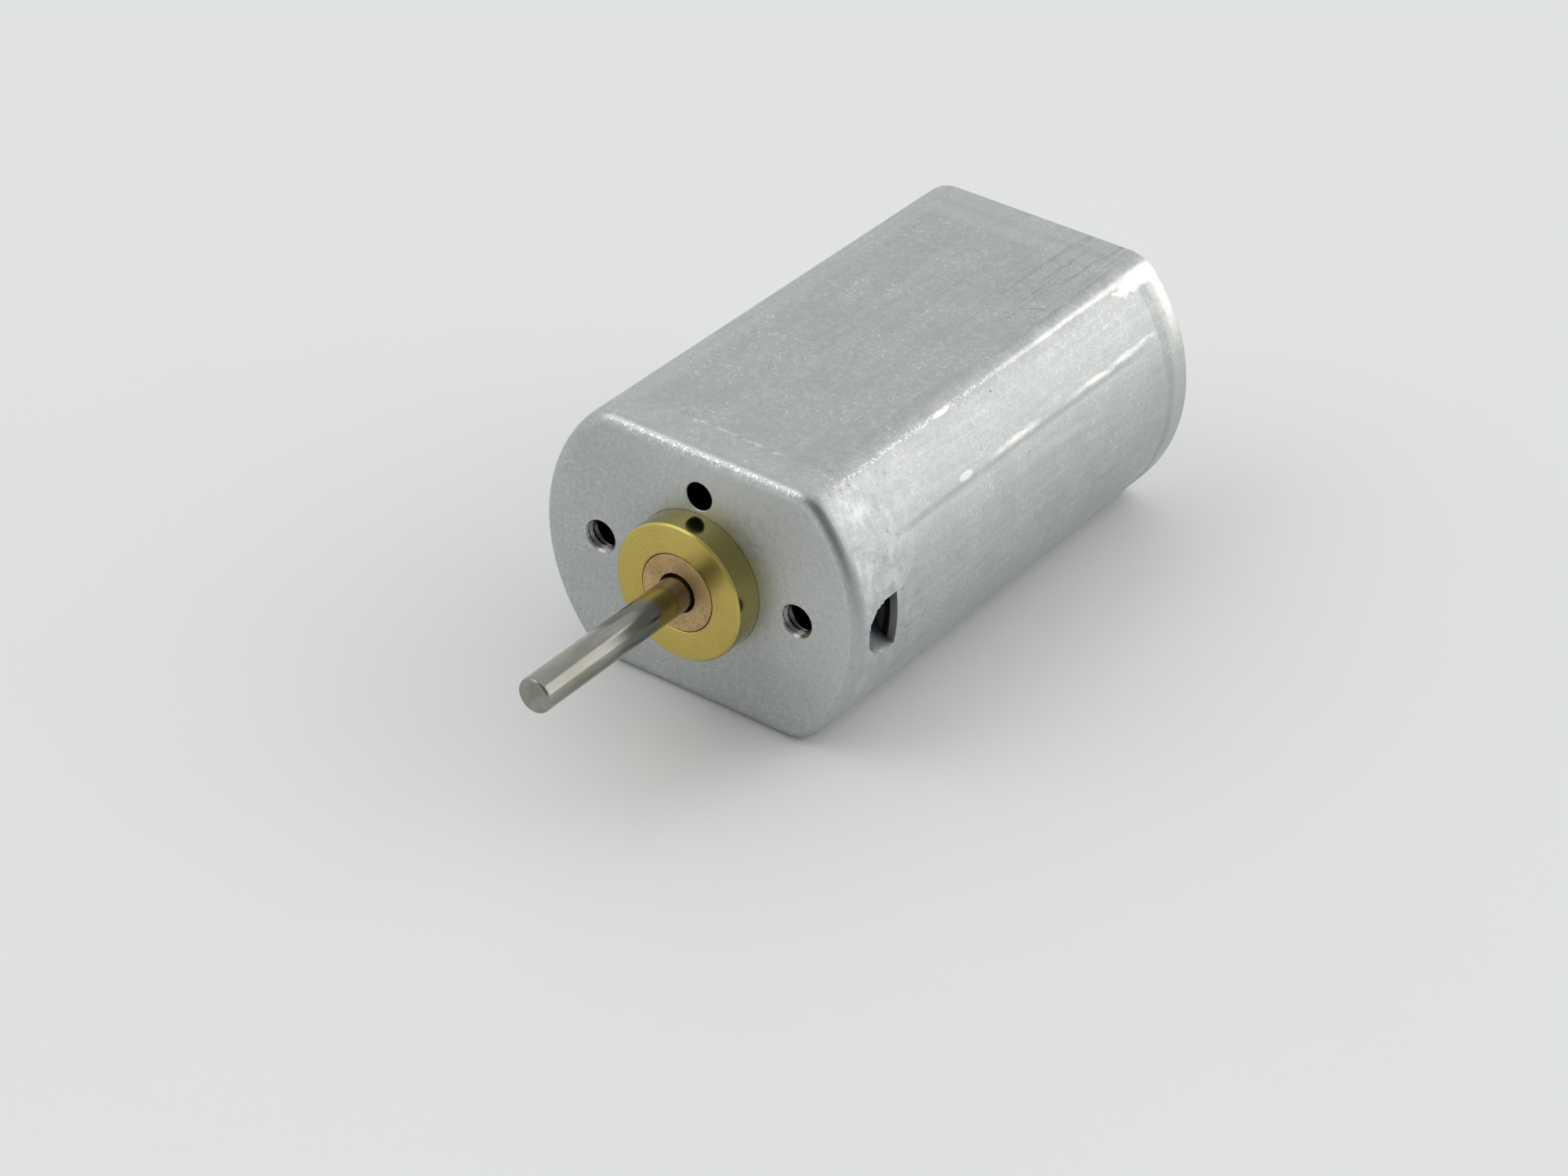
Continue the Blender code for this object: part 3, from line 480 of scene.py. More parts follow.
def dark_marks(f):
    """A scratch, a few dark specks and a faint dark line under the rubbed streak, from 0 to 1."""
    x, y, z = f.axes()
    right = on_right(f)
    scratch = f.product(
        f.band(f.math("MULTIPLY_ADD", f.math("SUBTRACT", x, 5.3), -0.69, y), 23.2, 0.02, 0.06),
        f.band(x, 5.3, 0.35, 0.3),
        on_top(f),
        0.6,
    )
    place = f.spot(f.math("SUBTRACT", y, 15.5), f.math("SUBTRACT", z, 6.9), 0.09, 0.07)
    dot = f.product(place, right, 0.8)
    dark_line = f.product(f.band(z, 4.22, 0.04, 0.22), f.step(y, 3.5, 7.0), f.step(y, 31.0, 24.0), right, 0.35)
    freckles = f.step(f.noise(3.0, 4), 0.62, 0.70)
    specks = f.product(freckles, right, f.step(y, 10.0, 4.0), f.step(y, 0.8, 1.4), 0.55)
    return f.total(scratch, dot, dark_line, specks)


def opening_shades(f, tone):
    """Paints shade into the holes and the pressed-in magnet stops, whose stretched plating is also darker.
    Also returns where the threads are.
    """
    x, y, z = f.axes()
    inward = f.math("SUBTRACT", CAN_RADIUS, f.radius())
    stop = f.product(
        f.step(f.math("ABSOLUTE", x), 6.0, 6.5),
        f.step(f.math("ABSOLUTE", z), 2.0, 1.8),
        f.step(y, LANCE_CUT + 1.0, LANCE_CUT + 0.5),
        f.step(y, 0.85, 0.95),
    )
    # Painted shade in the pressed-in stops, strongest in their upper part, over a darker stretched plating.
    shadowed = f.step(f.math("MULTIPLY_ADD", y, 0.644, z), 0.2, 1.2)
    pressed = f.product(stop, f.step(inward, 0.10, 0.24), f.blend(shadowed, 0.25, 1.0))
    tone = f.mix(pressed, tone, (0.075, 0.09, 0.13))
    # Painted shadow on the sheared wall: raw steel at its outer edge, black deeper in.
    sheared = f.product(stop, f.step(y, LANCE_CUT - 0.02, LANCE_CUT - 0.01), f.step(inward, 0.01, 0.03))
    tone = f.mix(sheared, tone, f.mix(f.step(inward, 0.40, 0.52), (0.42, 0.425, 0.40), (0.02, 0.02, 0.025)))

    screw_x = f.math("SUBTRACT", f.math("ABSOLUTE", x), SCREW_PLACE)
    reach = THREAD_CORE + THREAD_DEPTH + 0.2
    thread = f.product(f.spot(screw_x, z, reach, reach), f.step(y, 0.02, 0.08))
    # Painted shade in the tapped holes, darker further in.
    depth_shade = f.mix(f.step(y, 0.12, 0.55), (0.34, 0.335, 0.325), (0.11, 0.11, 0.11))
    tone = f.mix(thread, tone, depth_shade)
    # Painted shade: the vent's wall is painted near black.
    vent_z = f.math("SUBTRACT", z, VENT_HEIGHT)
    reach = VENT_RADIUS + 0.2
    vent = f.product(f.spot(x, vent_z, reach, reach), f.step(y, 0.02, 0.07))
    return f.mix(vent, tone, (0.02, 0.02, 0.02)), thread


def turned_brass():
    """Brass turned on a lathe: fine rings on its face, and a darker, polished outside."""
    f = Finish("brass", (0.52, 0.40, 0.12), 0.28, 1.0, Anisotropic=0.7, Anisotropic_Rotation=0.25)
    tangent = f.add("ShaderNodeTangent", direction_type="RADIAL", axis="Y")
    f.link(tangent.outputs[0], f.shader.inputs["Tangent"])
    radius = f.radius()
    ring = f.math("ADD", radius, f.product(f.noise(0.8, 2), 0.12))
    cuts = f.total(f.product(f.lines(ring, 0.23), 0.5), f.product(f.lines(ring, 0.087), 0.5))
    tarnish = f.step(f.noise(1.1, 4), 0.45, 0.72)
    outside = f.step(radius, BOSS_RADIUS - 0.05, BOSS_RADIUS - 0.01)
    tone = f.mix(f.product(cuts, 0.4), (0.53, 0.41, 0.095), (0.68, 0.56, 0.22))
    tone = f.mix(f.product(tarnish, 0.3), tone, (0.40, 0.32, 0.11))
    f.colour(f.mix(outside, tone, (0.40, 0.355, 0.13)))
    f.rough(f.blend(outside, f.blend(f.noise(1.0, 3), 0.26, 0.38), 0.15))
    f.bump(cuts, 0.005)
    f.bump(f.noise(9.0, 2), 0.002)
    return f.material


def sintered_bronze():
    """Pressed and sintered bronze powder: matte, with open pores and oil, and with painted shade in its
    mouth.
    """
    f = Finish("sintered_bronze", (0.62, 0.43, 0.21), 0.5, 0.9)
    pores = f.step(f.noise(14.0, 3), 0.36, 0.5)
    oil = f.noise(0.9, 3)
    tone = f.mix(f.step(oil, 0.35, 0.7), (0.62, 0.43, 0.215), (0.52, 0.345, 0.165))
    tone = f.mix(f.product(f.math("SUBTRACT", 1.0, pores), 0.6), tone, (0.30, 0.19, 0.09))
    # Painted shade in the bush's mouth, round the shaft.
    mouth = f.step(f.radius(), MOUTH_RADIUS + 0.03, MOUTH_RADIUS - 0.02)
    f.colour(f.mix(mouth, tone, (0.24, 0.16, 0.105)))
    f.rough(f.blend(oil, 0.38, 0.58))
    f.bump(pores, 0.006)
    return f.material


def ground_steel():
    """Ground and polished shaft steel, with fine grinding rings and a few handling marks."""
    f = Finish("ground_steel", (0.46, 0.455, 0.43), 0.16, 1.0)
    rings = f.noise(1.0, 4, (0.5, 26.0, 0.5), 0.6)
    smears = f.noise(0.7, 4, (1.6, 0.35, 1.6))
    f.colour(f.mix(f.step(smears, 0.35, 0.7), (0.31, 0.31, 0.28), (0.24, 0.235, 0.205)))
    f.rough(f.blend(smears, 0.09, 0.17))
    f.bump(rings, 0.0012)
    return f.material


def moulded(name, light, dark, roughness):
    """Moulded plastic with a faint texture from its tool and paler and darker flow marks."""
    f = Finish(name, light, roughness, Subsurface_Weight=0.05, Specular_IOR_Level=0.45)
    flow = f.noise(0.5, 3, (1, 0.5, 1))
    skin = f.noise(9.0, 4)
    f.colour(f.mix(f.step(flow, 0.3, 0.75), light, dark))
    f.rough(f.blend(skin, roughness - 0.08, roughness + 0.1))
    f.bump(skin, 0.006)
    return f.material


def ferrite():
    f = Finish("ferrite", (0.05, 0.05, 0.055), 0.6, 0.1)
    grit = f.noise(8.0, 5)
    f.colour(f.mix(grit, (0.03, 0.03, 0.034), (0.085, 0.085, 0.09)))
    f.rough(f.blend(grit, 0.45, 0.8))
    f.bump(grit, 0.01)
    return f.material


def bright_metal(name, light, dark, roughness, stretch):
    """Rolled, drawn or plated metal, with grain along its rolling direction."""
    f = Finish(name, light, roughness, 1.0)
    grain = f.noise(2.0, 5, stretch, 0.65)
    stain = f.noise(0.6, 3)
    f.colour(f.mix(f.step(stain, 0.4, 0.75), light, dark))
    f.rough(f.blend(grain, roughness - 0.08, roughness + 0.12))
    f.bump(grain, 0.003)
    return f.material


def carbon():
    f = Finish("carbon", (0.025, 0.025, 0.027), 0.5, 0.2)
    grit = f.noise(12.0, 4)
    f.colour(f.mix(grit, (0.015, 0.015, 0.016), (0.06, 0.06, 0.062)))
    f.rough(f.blend(grit, 0.35, 0.7))
    f.bump(grit, 0.006)
    return f.material


def fibre():
    f = Finish("fibre", (0.30, 0.14, 0.07), 0.7)
    weave = f.noise(3.0, 5, (1, 4, 1))
    f.colour(f.mix(weave, (0.24, 0.10, 0.05), (0.38, 0.19, 0.10)))
    f.rough(f.blend(weave, 0.55, 0.85))
    f.bump(weave, 0.01)
    return f.material


def ceramic():
    f = Finish("varistor_ceramic", (0.10, 0.10, 0.12), 0.5)
    crystals = f.cells(6.0)
    f.colour(f.mix(crystals, (0.07, 0.07, 0.09), (0.16, 0.16, 0.18)))
    f.rough(f.blend(f.noise(5.0, 3), 0.4, 0.65))
    f.bump(f.noise(10.0, 3), 0.004)
    return f.material


def laminations():
    """A pack of punched sheets, with a dark line between each two and rust-brown freckles."""
    f = Finish("electrical_steel", (0.32, 0.32, 0.34), 0.4, 1.0)
    _, y, _ = f.axes()
    sheets = f.step(f.lines(y, 0.5), 0.05, 0.3)
    freckles = f.step(f.noise(1.6, 5), 0.58, 0.7)
    tone = f.mix(freckles, (0.34, 0.34, 0.36), (0.25, 0.17, 0.12))
    f.colour(f.mix(sheets, (0.09, 0.09, 0.10), tone))
    f.rough(f.blend(f.noise(4.0, 3), 0.32, 0.55))
    f.bump(sheets, 0.02)
    return f.material


def enamelled_wire():
    """Turns of varnished wire wound side by side."""
    f = Finish("enamelled_copper", (0.48, 0.16, 0.06), 0.28, 0.7, Coat_Weight=0.4, Coat_Roughness=0.15)
    turns = f.lines(f.radius(), 0.3)
    varnish = f.noise(1.5, 3)
    tone = f.mix(varnish, (0.52, 0.18, 0.06), (0.38, 0.11, 0.04))
    # Painted shade in the grooves between the turns.
    f.colour(f.mix(f.step(turns, 0.0, 0.35), (0.10, 0.03, 0.015), tone))
    f.rough(f.blend(varnish, 0.2, 0.36))
    f.bump(turns, 0.06)
    return f.material


def pale_board():
    """The pale, slightly glossy board that the motor lies on."""
    f = Finish("pale_board", (0.80, 0.81, 0.805), 0.45, Specular_IOR_Level=0.35)
    mottle = f.noise(0.03, 4)
    f.colour(f.mix(mottle, (0.815, 0.828, 0.822), (0.845, 0.855, 0.85)))
    f.rough(f.blend(f.noise(0.2, 3), 0.40, 0.5))
    return f.material


# Shapes


class Shape:
    """One closed mesh in the motor's own frame, made from rings of points that are joined up."""

    def __init__(self):
        self.mesh = bmesh.new()

    def ring(self, points):
        return [self.mesh.verts.new(point) for point in points]

    def bridge(self, first, second, closed=True):
        """Quads between two rings of the same number of points."""
        count = len(first)
        for i in range(count if closed else count - 1):
            j = (i + 1) % count
            corners = []
            for vert in (first[i], first[j], second[j], second[i]):
                if vert not in corners:
                    corners.append(vert)
            if len(corners) > 2:
                self.mesh.faces.new(corners)

    def loft(self, rings, closed=True):
        for first, second in zip(rings, rings[1:]):
            self.bridge(first, second, closed)

    def fill(self, loops, facing):
        """A flat face inside the first loop and outside the others."""
        edges = []
        for loop in loops:
            for first, second in zip(loop, loop[1:] + loop[:1]):
                edges.append(self.mesh.edges.get((first, second)) or self.mesh.edges.new((first, second)))
        bmesh.ops.triangle_fill(self.mesh, use_beauty=True, edges=edges, normal=facing)

    def piece(self, name, material, body, replaced):
        """The finished object, riding on a body in place of a CAD node."""
        bmesh.ops.recalc_face_normals(self.mesh, faces=self.mesh.faces)
        self.mesh.transform(MOTOR_FRAME)
        data = bpy.data.meshes.new(name)
        self.mesh.to_mesh(data)
        self.mesh.free()
        return add_piece(name, data, material, body, replaced)


def add_piece(name, data, material, body, replaced):
    data.shade_smooth()
    data.set_sharp_from_angle(angle=SHARP_ANGLE)
    data.materials.clear()
    data.materials.append(material)
    obj = bpy.data.objects.new(name, data)
    bpy.context.scene.collection.objects.link(obj)
    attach(obj, body)
    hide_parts(replaced)
    return obj


def spread(start, end, steps):
    return [start + (end - start) * i / steps for i in range(steps + 1)]


def arc(centre, radius, start, end, steps):
    angles = [math.radians(a) for a in spread(start, end, steps)]
    return [(centre[0] + radius * math.cos(a), centre[1] + radius * math.sin(a)) for a in angles]


def rounded(points, radius, steps=4):
    """A polyline with each of its inner corners rounded to a radius."""
    result = [Vector(points[0])]
    for before, corner, after in zip(points, points[1:], points[2:]):
        before, corner, after = Vector(before), Vector(corner), Vector(after)
        room = min((before - corner).length, (after - corner).length) / 2
        inwards, outwards = (before - corner).normalized(), (after - corner).normalized()
        half = inwards.angle(outwards) / 2
        reach = min(radius / math.tan(half), room)
        start, end = corner + inwards * reach, corner + outwards * reach
        for t in spread(0, 1, steps):
            result.append((1 - t) ** 2 * start + 2 * t * (1 - t) * corner + t**2 * end)
    return result + [Vector(points[-1])]


def turned(profile, closed):
    """A profile of (radius, y) points turned about the shaft's axis."""
    shape = Shape()
    rings = []
    for radius, y in profile:
        if radius < 1e-6:
            rings.append([shape.mesh.verts.new((0, y, 0))] * TURN_STEPS)
        else:
            rings.append(shape.ring([(a, y, b) for a, b in arc((0, 0), radius, 0, 360, TURN_STEPS)[:-1]]))
    shape.loft(rings + rings[:1] if closed else rings)
    return shape


def circle_points(x, z, radius, y, steps=48):
    return [(a, y, b) for a, b in arc((x, z), radius, 0, 360, steps)[:-1]]


# The can


def can_columns():
    """The can's section as (point, outward normal, on a curved side) for each column, anticlockwise."""
    z = CAN_HALF_HEIGHT - CAN_CORNER
    x = math.sqrt((CAN_RADIUS - CAN_CORNER) ** 2 - z**2)
    meet = math.degrees(math.atan2(z, x))
    slit = math.degrees(math.asin(LANCE_HALF_WIDTH / CAN_RADIUS))
    half = spread(-meet, -slit, 14)[:-1] + spread(-slit, slit, 30) + spread(slit, meet, 14)[1:]
    corner = spread(meet, 90, 12)[1:]
    columns = []
    for turn in (0, 180):
        for angle in half:
            normal = direction(angle + turn)
            columns.append((normal * CAN_RADIUS, normal, True))
        sign = 1 if turn == 0 else -1
        for angle in corner:
            normal = direction(angle + turn)
            columns.append((Vector((x, z)) * sign + normal * CAN_CORNER, normal, False))
        for place in spread(x, -x, 6)[1:-1]:
            columns.append((Vector((place * sign, CAN_HALF_HEIGHT * sign)), Vector((0, sign)), False))
        for angle in corner[::-1]:
            normal = direction(180 - angle + turn)
            columns.append((Vector((-x, z)) * sign + normal * CAN_CORNER, normal, False))
    return columns


def direction(degrees):
    return Vector((math.cos(math.radians(degrees)), math.sin(math.radians(degrees))))


def dent_depth(y, z):
    """How far the magnet stop is pressed in, in front of where the wall is sheared."""
    along = abs(LANCE_CUT - y) / LANCE_LENGTH
    across = abs(z) / LANCE_HALF_WIDTH
    out = (along**LANCE_SQUARENESS + across**LANCE_SQUARENESS) ** (1 / LANCE_SQUARENESS)
    return LANCE_DEPTH * math.sqrt(max(0.0, 1 - out**LANCE_FALL))


def groove_depth(y):
    """The shallow sizing groove round the curved sides, near the rim."""
    off = abs(y - GROOVE_PLACE) / GROOVE_HALF_WIDTH
    return GROOVE_DEPTH * (1 + math.cos(math.pi * off)) / 2 if off < 1 else 0.0


def can_ring(shape, columns, y, inset, pressed, shared=None):
    """A ring of the can's wall. Where it isn't pressed in, it can share the points of another ring."""
    ring = []
    for i, (point, normal, curved) in enumerate(columns):
        depth = dent_depth(y, point.y) if curved and pressed else 0.0
        if shared and depth < 1e-6:
            ring.append(shared[i])
            continue
        groove = groove_depth(y) if curved else 0.0
        place = point - normal * (inset + groove + depth)
        ring.append(shape.mesh.verts.new((place.x, y, place.y)))
    return ring


def can_profiles():
    """(y, inset) pairs along the can's wall, in three runs that meet where the magnet stops are cut.

    They are the outside in front of the cut, the outside and the inside behind it, and the inside in
    front of it, up to the front wall.
    """
    outer = [(0.0, FRONT_FILLET + 0.12), (0.0, FRONT_FILLET + 0.05)]
    for t in spread(0, math.pi / 2, 12):
        outer.append((FRONT_FILLET * (1 - math.cos(t)), FRONT_FILLET * (1 - math.sin(t))))
    outer += [(y, 0.0) for y in spread(FRONT_FILLET, LANCE_CUT, 26)[1:-1]]

    groove_start, groove_end = GROOVE_PLACE - GROOVE_HALF_WIDTH, GROOVE_PLACE + GROOVE_HALF_WIDTH
    rear = [(y, 0.0) for y in spread(LANCE_CUT, groove_start, 24)[1:]]
    rear += [(y, 0.0) for y in spread(groove_start, groove_end, 10)[1:]]
    for t in spread(0, math.pi / 2, 4):
        rear.append((CAN_LENGTH - RIM_ROUND * (1 - math.sin(t)), RIM_ROUND * (1 - math.cos(t))))
    for t in spread(0, math.pi / 2, 3):
        rear.append((CAN_LENGTH - RIM_ROUND * (1 - math.cos(t)), CAN_WALL - RIM_ROUND * (1 - math.sin(t))))
    rear += [(y, CAN_WALL) for y in spread(CAN_LENGTH - 1, LANCE_CUT, 16)[:-1]]

    inner = [(y, CAN_WALL) for y in spread(LANCE_CUT, CAN_WALL + INNER_FILLET, 24)[1:]]
    for t in spread(0, math.pi / 2, 4)[1:]:
        along, inwards = INNER_FILLET * (1 - math.sin(t)), INNER_FILLET * (1 - math.cos(t))
        inner.append((CAN_WALL + along, CAN_WALL + inwards))
    inner.append((CAN_WALL, CAN_WALL + INNER_FILLET + 0.1))
    return outer, rear, inner


def build_can(material):
    """The can: its wall in front of the magnet stops' cut and behind it, joined round the cut's slits."""
    shape = Shape()
    columns = can_columns()
    outer, rear, inner = can_profiles()
    rings = [can_ring(shape, columns, y, inset, True) for y, inset in outer]
    cut_outer = can_ring(shape, columns, LANCE_CUT, 0.0, False)
    pressed_outer = can_ring(shape, columns, LANCE_CUT, 0.0, True, cut_outer)
    shape.loft(rings + [pressed_outer])
    back = [can_ring(shape, columns, y, inset, False) for y, inset in rear]
    cut_inner = can_ring(shape, columns, LANCE_CUT, CAN_WALL, False)
    pressed_inner = can_ring(shape, columns, LANCE_CUT, CAN_WALL, True, cut_inner)
    shape.loft([cut_outer] + back + [cut_inner])
    front = [can_ring(shape, columns, y, inset, True) for y, inset in inner]
    shape.loft([pressed_inner] + front)
    for i in range(len(columns)):
        j = (i + 1) % len(columns)
        if pressed_outer[i] is cut_outer[i] and pressed_outer[j] is cut_outer[j]:
            continue
        for outside, inside in ((cut_outer, cut_inner), (pressed_outer, pressed_inner)):
            shape.mesh.faces.new((outside[i], outside[j], inside[j], inside[i]))
    outer_loops, inner_loops = add_openings(shape)
    shape.fill([rings[0]] + outer_loops, (0, -1, 0))
    shape.fill([front[-1]] + inner_loops, (0, 1, 0))
    for x in (-CRIMP_PLACE, CRIMP_PLACE):
        for outward in (-1, 1):
            add_crimp(shape, x, outward)
    return shape.piece("can_shell", material, "housing", "can")


def add_crimp(shape, x, outward):
    """A tongue of the rim, bent in over the end cap to hold it."""
    root = CAN_HALF_HEIGHT - CAN_WALL / 2
    nose = CAN_HALF_HEIGHT - CAN_WALL - CRIMP_REACH
    rear = [(y, CRIMP_ROUND - a) for a, y in arc((0, CRIMP_REAR - CRIMP_ROUND), CRIMP_ROUND, 0, 90, 4)]
    rings = []
    for y, inset in [(CRIMP_FRONT, 0.0), *rear]:
        side, tip = CRIMP_HALF_WIDTH - inset, nose + inset
        outline = rounded([(-side, root), (-side, tip), (side, tip), (side, root)], 0.5, 6)
        rings.append(shape.ring([(x + place.x, y, outward * place.y) for place in outline]))
    shape.loft(rings)
    shape.fill([rings[0]], (0, -1, 0))
    shape.fill([rings[-1]], (0, 1, 0))


def add_openings(shape):
    """The walls of the front face's holes. Returns their loops on the outside and on the inside."""
    step = [(SEAT_RADIUS, SEAT_DEPTH), (SPIGOT_RADIUS, SEAT_DEPTH)]
    seat = [(SEAT_RADIUS, 0), *step, (SPIGOT_RADIUS, CAN_WALL)]
    burr = 0.05
    vent = rounded([(VENT_RADIUS + burr, 0), (VENT_RADIUS, burr), (VENT_RADIUS, CAN_WALL)], burr)
    outer_loops, inner_loops = [], []
    for height, profile, steps in ((0, seat, 96), (VENT_HEIGHT, vent, 48)):
        rings = [shape.ring(circle_points(0, height, radius, y, steps)) for radius, y in profile]
        shape.loft(rings)
        outer_loops.append(rings[0])
        inner_loops.append(rings[-1])
    for x in (-SCREW_PLACE, SCREW_PLACE):
        rings = threaded_rings(shape, x)
        shape.loft(rings)
        outer_loops.append(rings[0])
        inner_loops.append(rings[-1])
    return outer_loops, inner_loops


def threaded_rings(shape, x, steps=48, rows=28):
    """A tapped hole: a slightly countersunk mouth, then a helical thread with flat crests and roots."""
    mouth_depth = 0.16
    start, chamfer = 0.04, 0.02
    rings = [shape.ring(circle_points(x, 0, THREAD_CORE + THREAD_DEPTH + chamfer, 0, steps))]
    for y in spread(start, CAN_WALL, rows):
        ring = []
        for angle in spread(0, 360, steps)[:-1]:
            wave = abs(2 * ((y / THREAD_PITCH - angle / 360) % 1) - 1)
            flank = min(1.0, max(0.0, 1.5 * wave - 0.25))
            mouth = max(0.0, 1 - (y - start) / mouth_depth)
            place = direction(angle) * (THREAD_CORE + THREAD_DEPTH * max(flank, mouth))
            ring.append(shape.mesh.verts.new((x + place.x, y, place.y)))
        rings.append(ring)
    return rings


# The bearings and the shaft


def build_boss(material):
    """The boss: a collar staked inside the can's wall, a neck through it, and the disc in front."""
    bore = BUSH_RADIUS + FIT_GAP
    neck = SPIGOT_RADIUS - FIT_GAP
    seat = SEAT_DEPTH - FIT_GAP
    stake_end = CAN_WALL + STAKE_HEIGHT
    corners = [
        ((neck + STAKE_RADIUS) / 2, stake_end),
        (STAKE_RADIUS, stake_end),
        (STAKE_RADIUS, CAN_WALL + FIT_GAP),
        (neck, CAN_WALL + FIT_GAP),
        (neck, seat),
        (BOSS_RADIUS, seat),
        (BOSS_RADIUS, BOSS_FRONT + BOSS_CHAMFER),
        (BOSS_RADIUS - BOSS_CHAMFER, BOSS_FRONT),
        (bore, BOSS_FRONT),
        (bore, stake_end),
    ]
    shape = turned(rounded(corners, 0.1), closed=True)
    return shape.piece("boss_ring_turned", material, "housing", "boss_ring")


def build_front_bush(material):
    corners = [
        ((BORE_RADIUS + BUSH_RADIUS) / 2, BUSH_REAR),
        (BUSH_RADIUS, BUSH_REAR),
        (BUSH_RADIUS, BOSS_FRONT),
        (MOUTH_RADIUS, BOSS_FRONT),
        (BORE_RADIUS, BOSS_FRONT + MOUTH_DEPTH),
        (BORE_RADIUS, BUSH_REAR),
    ]
    shape = turned(rounded(corners, 0.06), closed=True)
    return shape.piece("front_bush_pressed", material, "housing", "front_bush")


def build_rear_bush(material):
    mouth = BORE_RADIUS + 0.22
    corners = [
        ((mouth + REAR_BUSH_RADIUS) / 2, REAR_BUSH_END),
        (REAR_BUSH_RADIUS, REAR_BUSH_END),
        (REAR_BUSH_RADIUS, REAR_BUSH_FRONT),
        (BORE_RADIUS, REAR_BUSH_FRONT),
        (BORE_RADIUS, REAR_BUSH_END - MOUTH_DEPTH),
        (mouth, REAR_BUSH_END),
    ]
    shape = turned(rounded(corners, 0.1), closed=True)
    return shape.piece("rear_bush_pressed", material, "housing", "rear_bush")


def build_shaft(material):
    corners = [(0, SHAFT_REAR), (SHAFT_RADIUS, SHAFT_REAR), (SHAFT_RADIUS, SHAFT_TIP), (0, SHAFT_TIP)]
    profile = rounded(corners, SHAFT_ROUND, 8)
    rear, tip = [p for p in profile if p.y > 0], [p for p in profile if p.y <= 0]
    along = [Vector((SHAFT_RADIUS, y)) for y in (20, 0, -8)]
    return turned(rear + along + tip, closed=False).piece("shaft_ground", material, "rotor", "shaft")


# The rear


def build_end_cap(material):
    """The moulded cap in the can's rear, with its bearing boss and the collars round the terminals."""
    shape = Shape()
    edge = CAP_ROUND
    outside = [cap_ring(shape, CAP_FRONT, edge)]
    outside += [cap_ring(shape, y, 0) for y in (CAP_FRONT + edge, CAP_REAR - edge)]
    outside += [cap_ring(shape, y, edge - a) for a, y in arc((0, CAP_REAR - edge), edge, 0, 90, 3)[1:]]
    inside = [cap_ring(shape, y, CAP_SKIRT) for y in (CAP_FLOOR, CAP_FRONT)]
    shape.loft(outside)
    shape.loft([*inside, outside[0]])

    rear_loops, floor_loops = [outside[-1]], [inside[0]]
    bore = REAR_BUSH_RADIUS + FIT_GAP
    boss = [
        (REAR_BOSS_RADIUS + 0.6, CAP_REAR),
        (REAR_BOSS_RADIUS + 0.02, CAP_REAR + 0.04),
        (REAR_BOSS_RADIUS, REAR_BOSS_END),
        (bore + 0.12, REAR_BOSS_END),
        (bore, REAR_BOSS_END - 0.2),
        (bore, CAP_FLOOR),
    ]
    rings = [shape.ring(circle_points(0, 0, radius, y, 96)) for radius, y in rounded(boss, 0.25)]
    shape.loft(rings)
    rear_loops.append(rings[0])
    floor_loops.append(rings[-1])
    for x in (-TERMINAL_PLACE, TERMINAL_PLACE):
        rings = collar_rings(shape, x)
        shape.loft(rings)
        rear_loops.append(rings[0])
        floor_loops.append(rings[-1])
    for across in (-1, 1):
        for up in (-1, 1):
            x, z = PIN_MARK_PLACE
            rear_loops.append(add_pin_mark(shape, across * x, up * z))
    rear_loops.append(add_plus(shape, *PLUS_PLACE))
    shape.fill(rear_loops, (0, 1, 0))
    shape.fill(floor_loops, (0, -1, 0))
    return shape.piece("end_cap_moulded", material, "housing", "end_cap")


def cap_ring(shape, y, inset):
    """A ring round the end cap, inset from its outside."""
    points = [point - normal * (CAP_INSET + inset) for point, normal, _ in can_columns()]
    return shape.ring([(place.x, y, place.y) for place in points])


def slot_points(x, y, half_thickness, half_width, corner):
    """A rounded rectangle round a terminal, as a loop of points."""
    middle = (0, -half_width)
    corners = [
        middle,
        (half_thickness, -half_width),
        (half_thickness, half_width),
        (-half_thickness, half_width),
        (-half_thickness, -half_width),
        middle,
    ]
    return [(x + place.x, y, place.y) for place in rounded(corners, corner)[:-1]]


def collar_rings(shape, x):
    """A low moulded collar round a terminal, and the slot through it."""
    half_thickness, half_width = TERMINAL_SLOT
    top = CAP_REAR + COLLAR_HEIGHT
    wall = COLLAR_WALL
    rows = [(CAP_REAR, wall + 0.05), (top - 0.1, wall), (top - 0.03, wall - 0.03), (top, wall - 0.1)]
    rows += [(top, 0.05), (top - 0.05, 0.0), (CAP_FLOOR, 0.0)]
    rings = []
    for y, grow in rows:
        corner = 0.05 + grow / 2
        rings.append(shape.ring(slot_points(x, y, half_thickness + grow, half_width + grow, corner)))
    return rings


def add_pin_mark(shape, x, z):
    """The shallow round dimple that an ejector pin leaves in a moulding. Returns its loop."""
    profile = [(0.02, 0.0), (0.0, -0.02), (-0.02, -0.08)]
    rings = []
    for wider, higher in profile:
        rings.append(shape.ring(circle_points(x, z, PIN_MARK_RADIUS + wider, CAP_REAR + higher, 32)))
    shape.loft(rings)
    shape.fill([rings[-1]], (0, 1, 0))
    return rings[0]


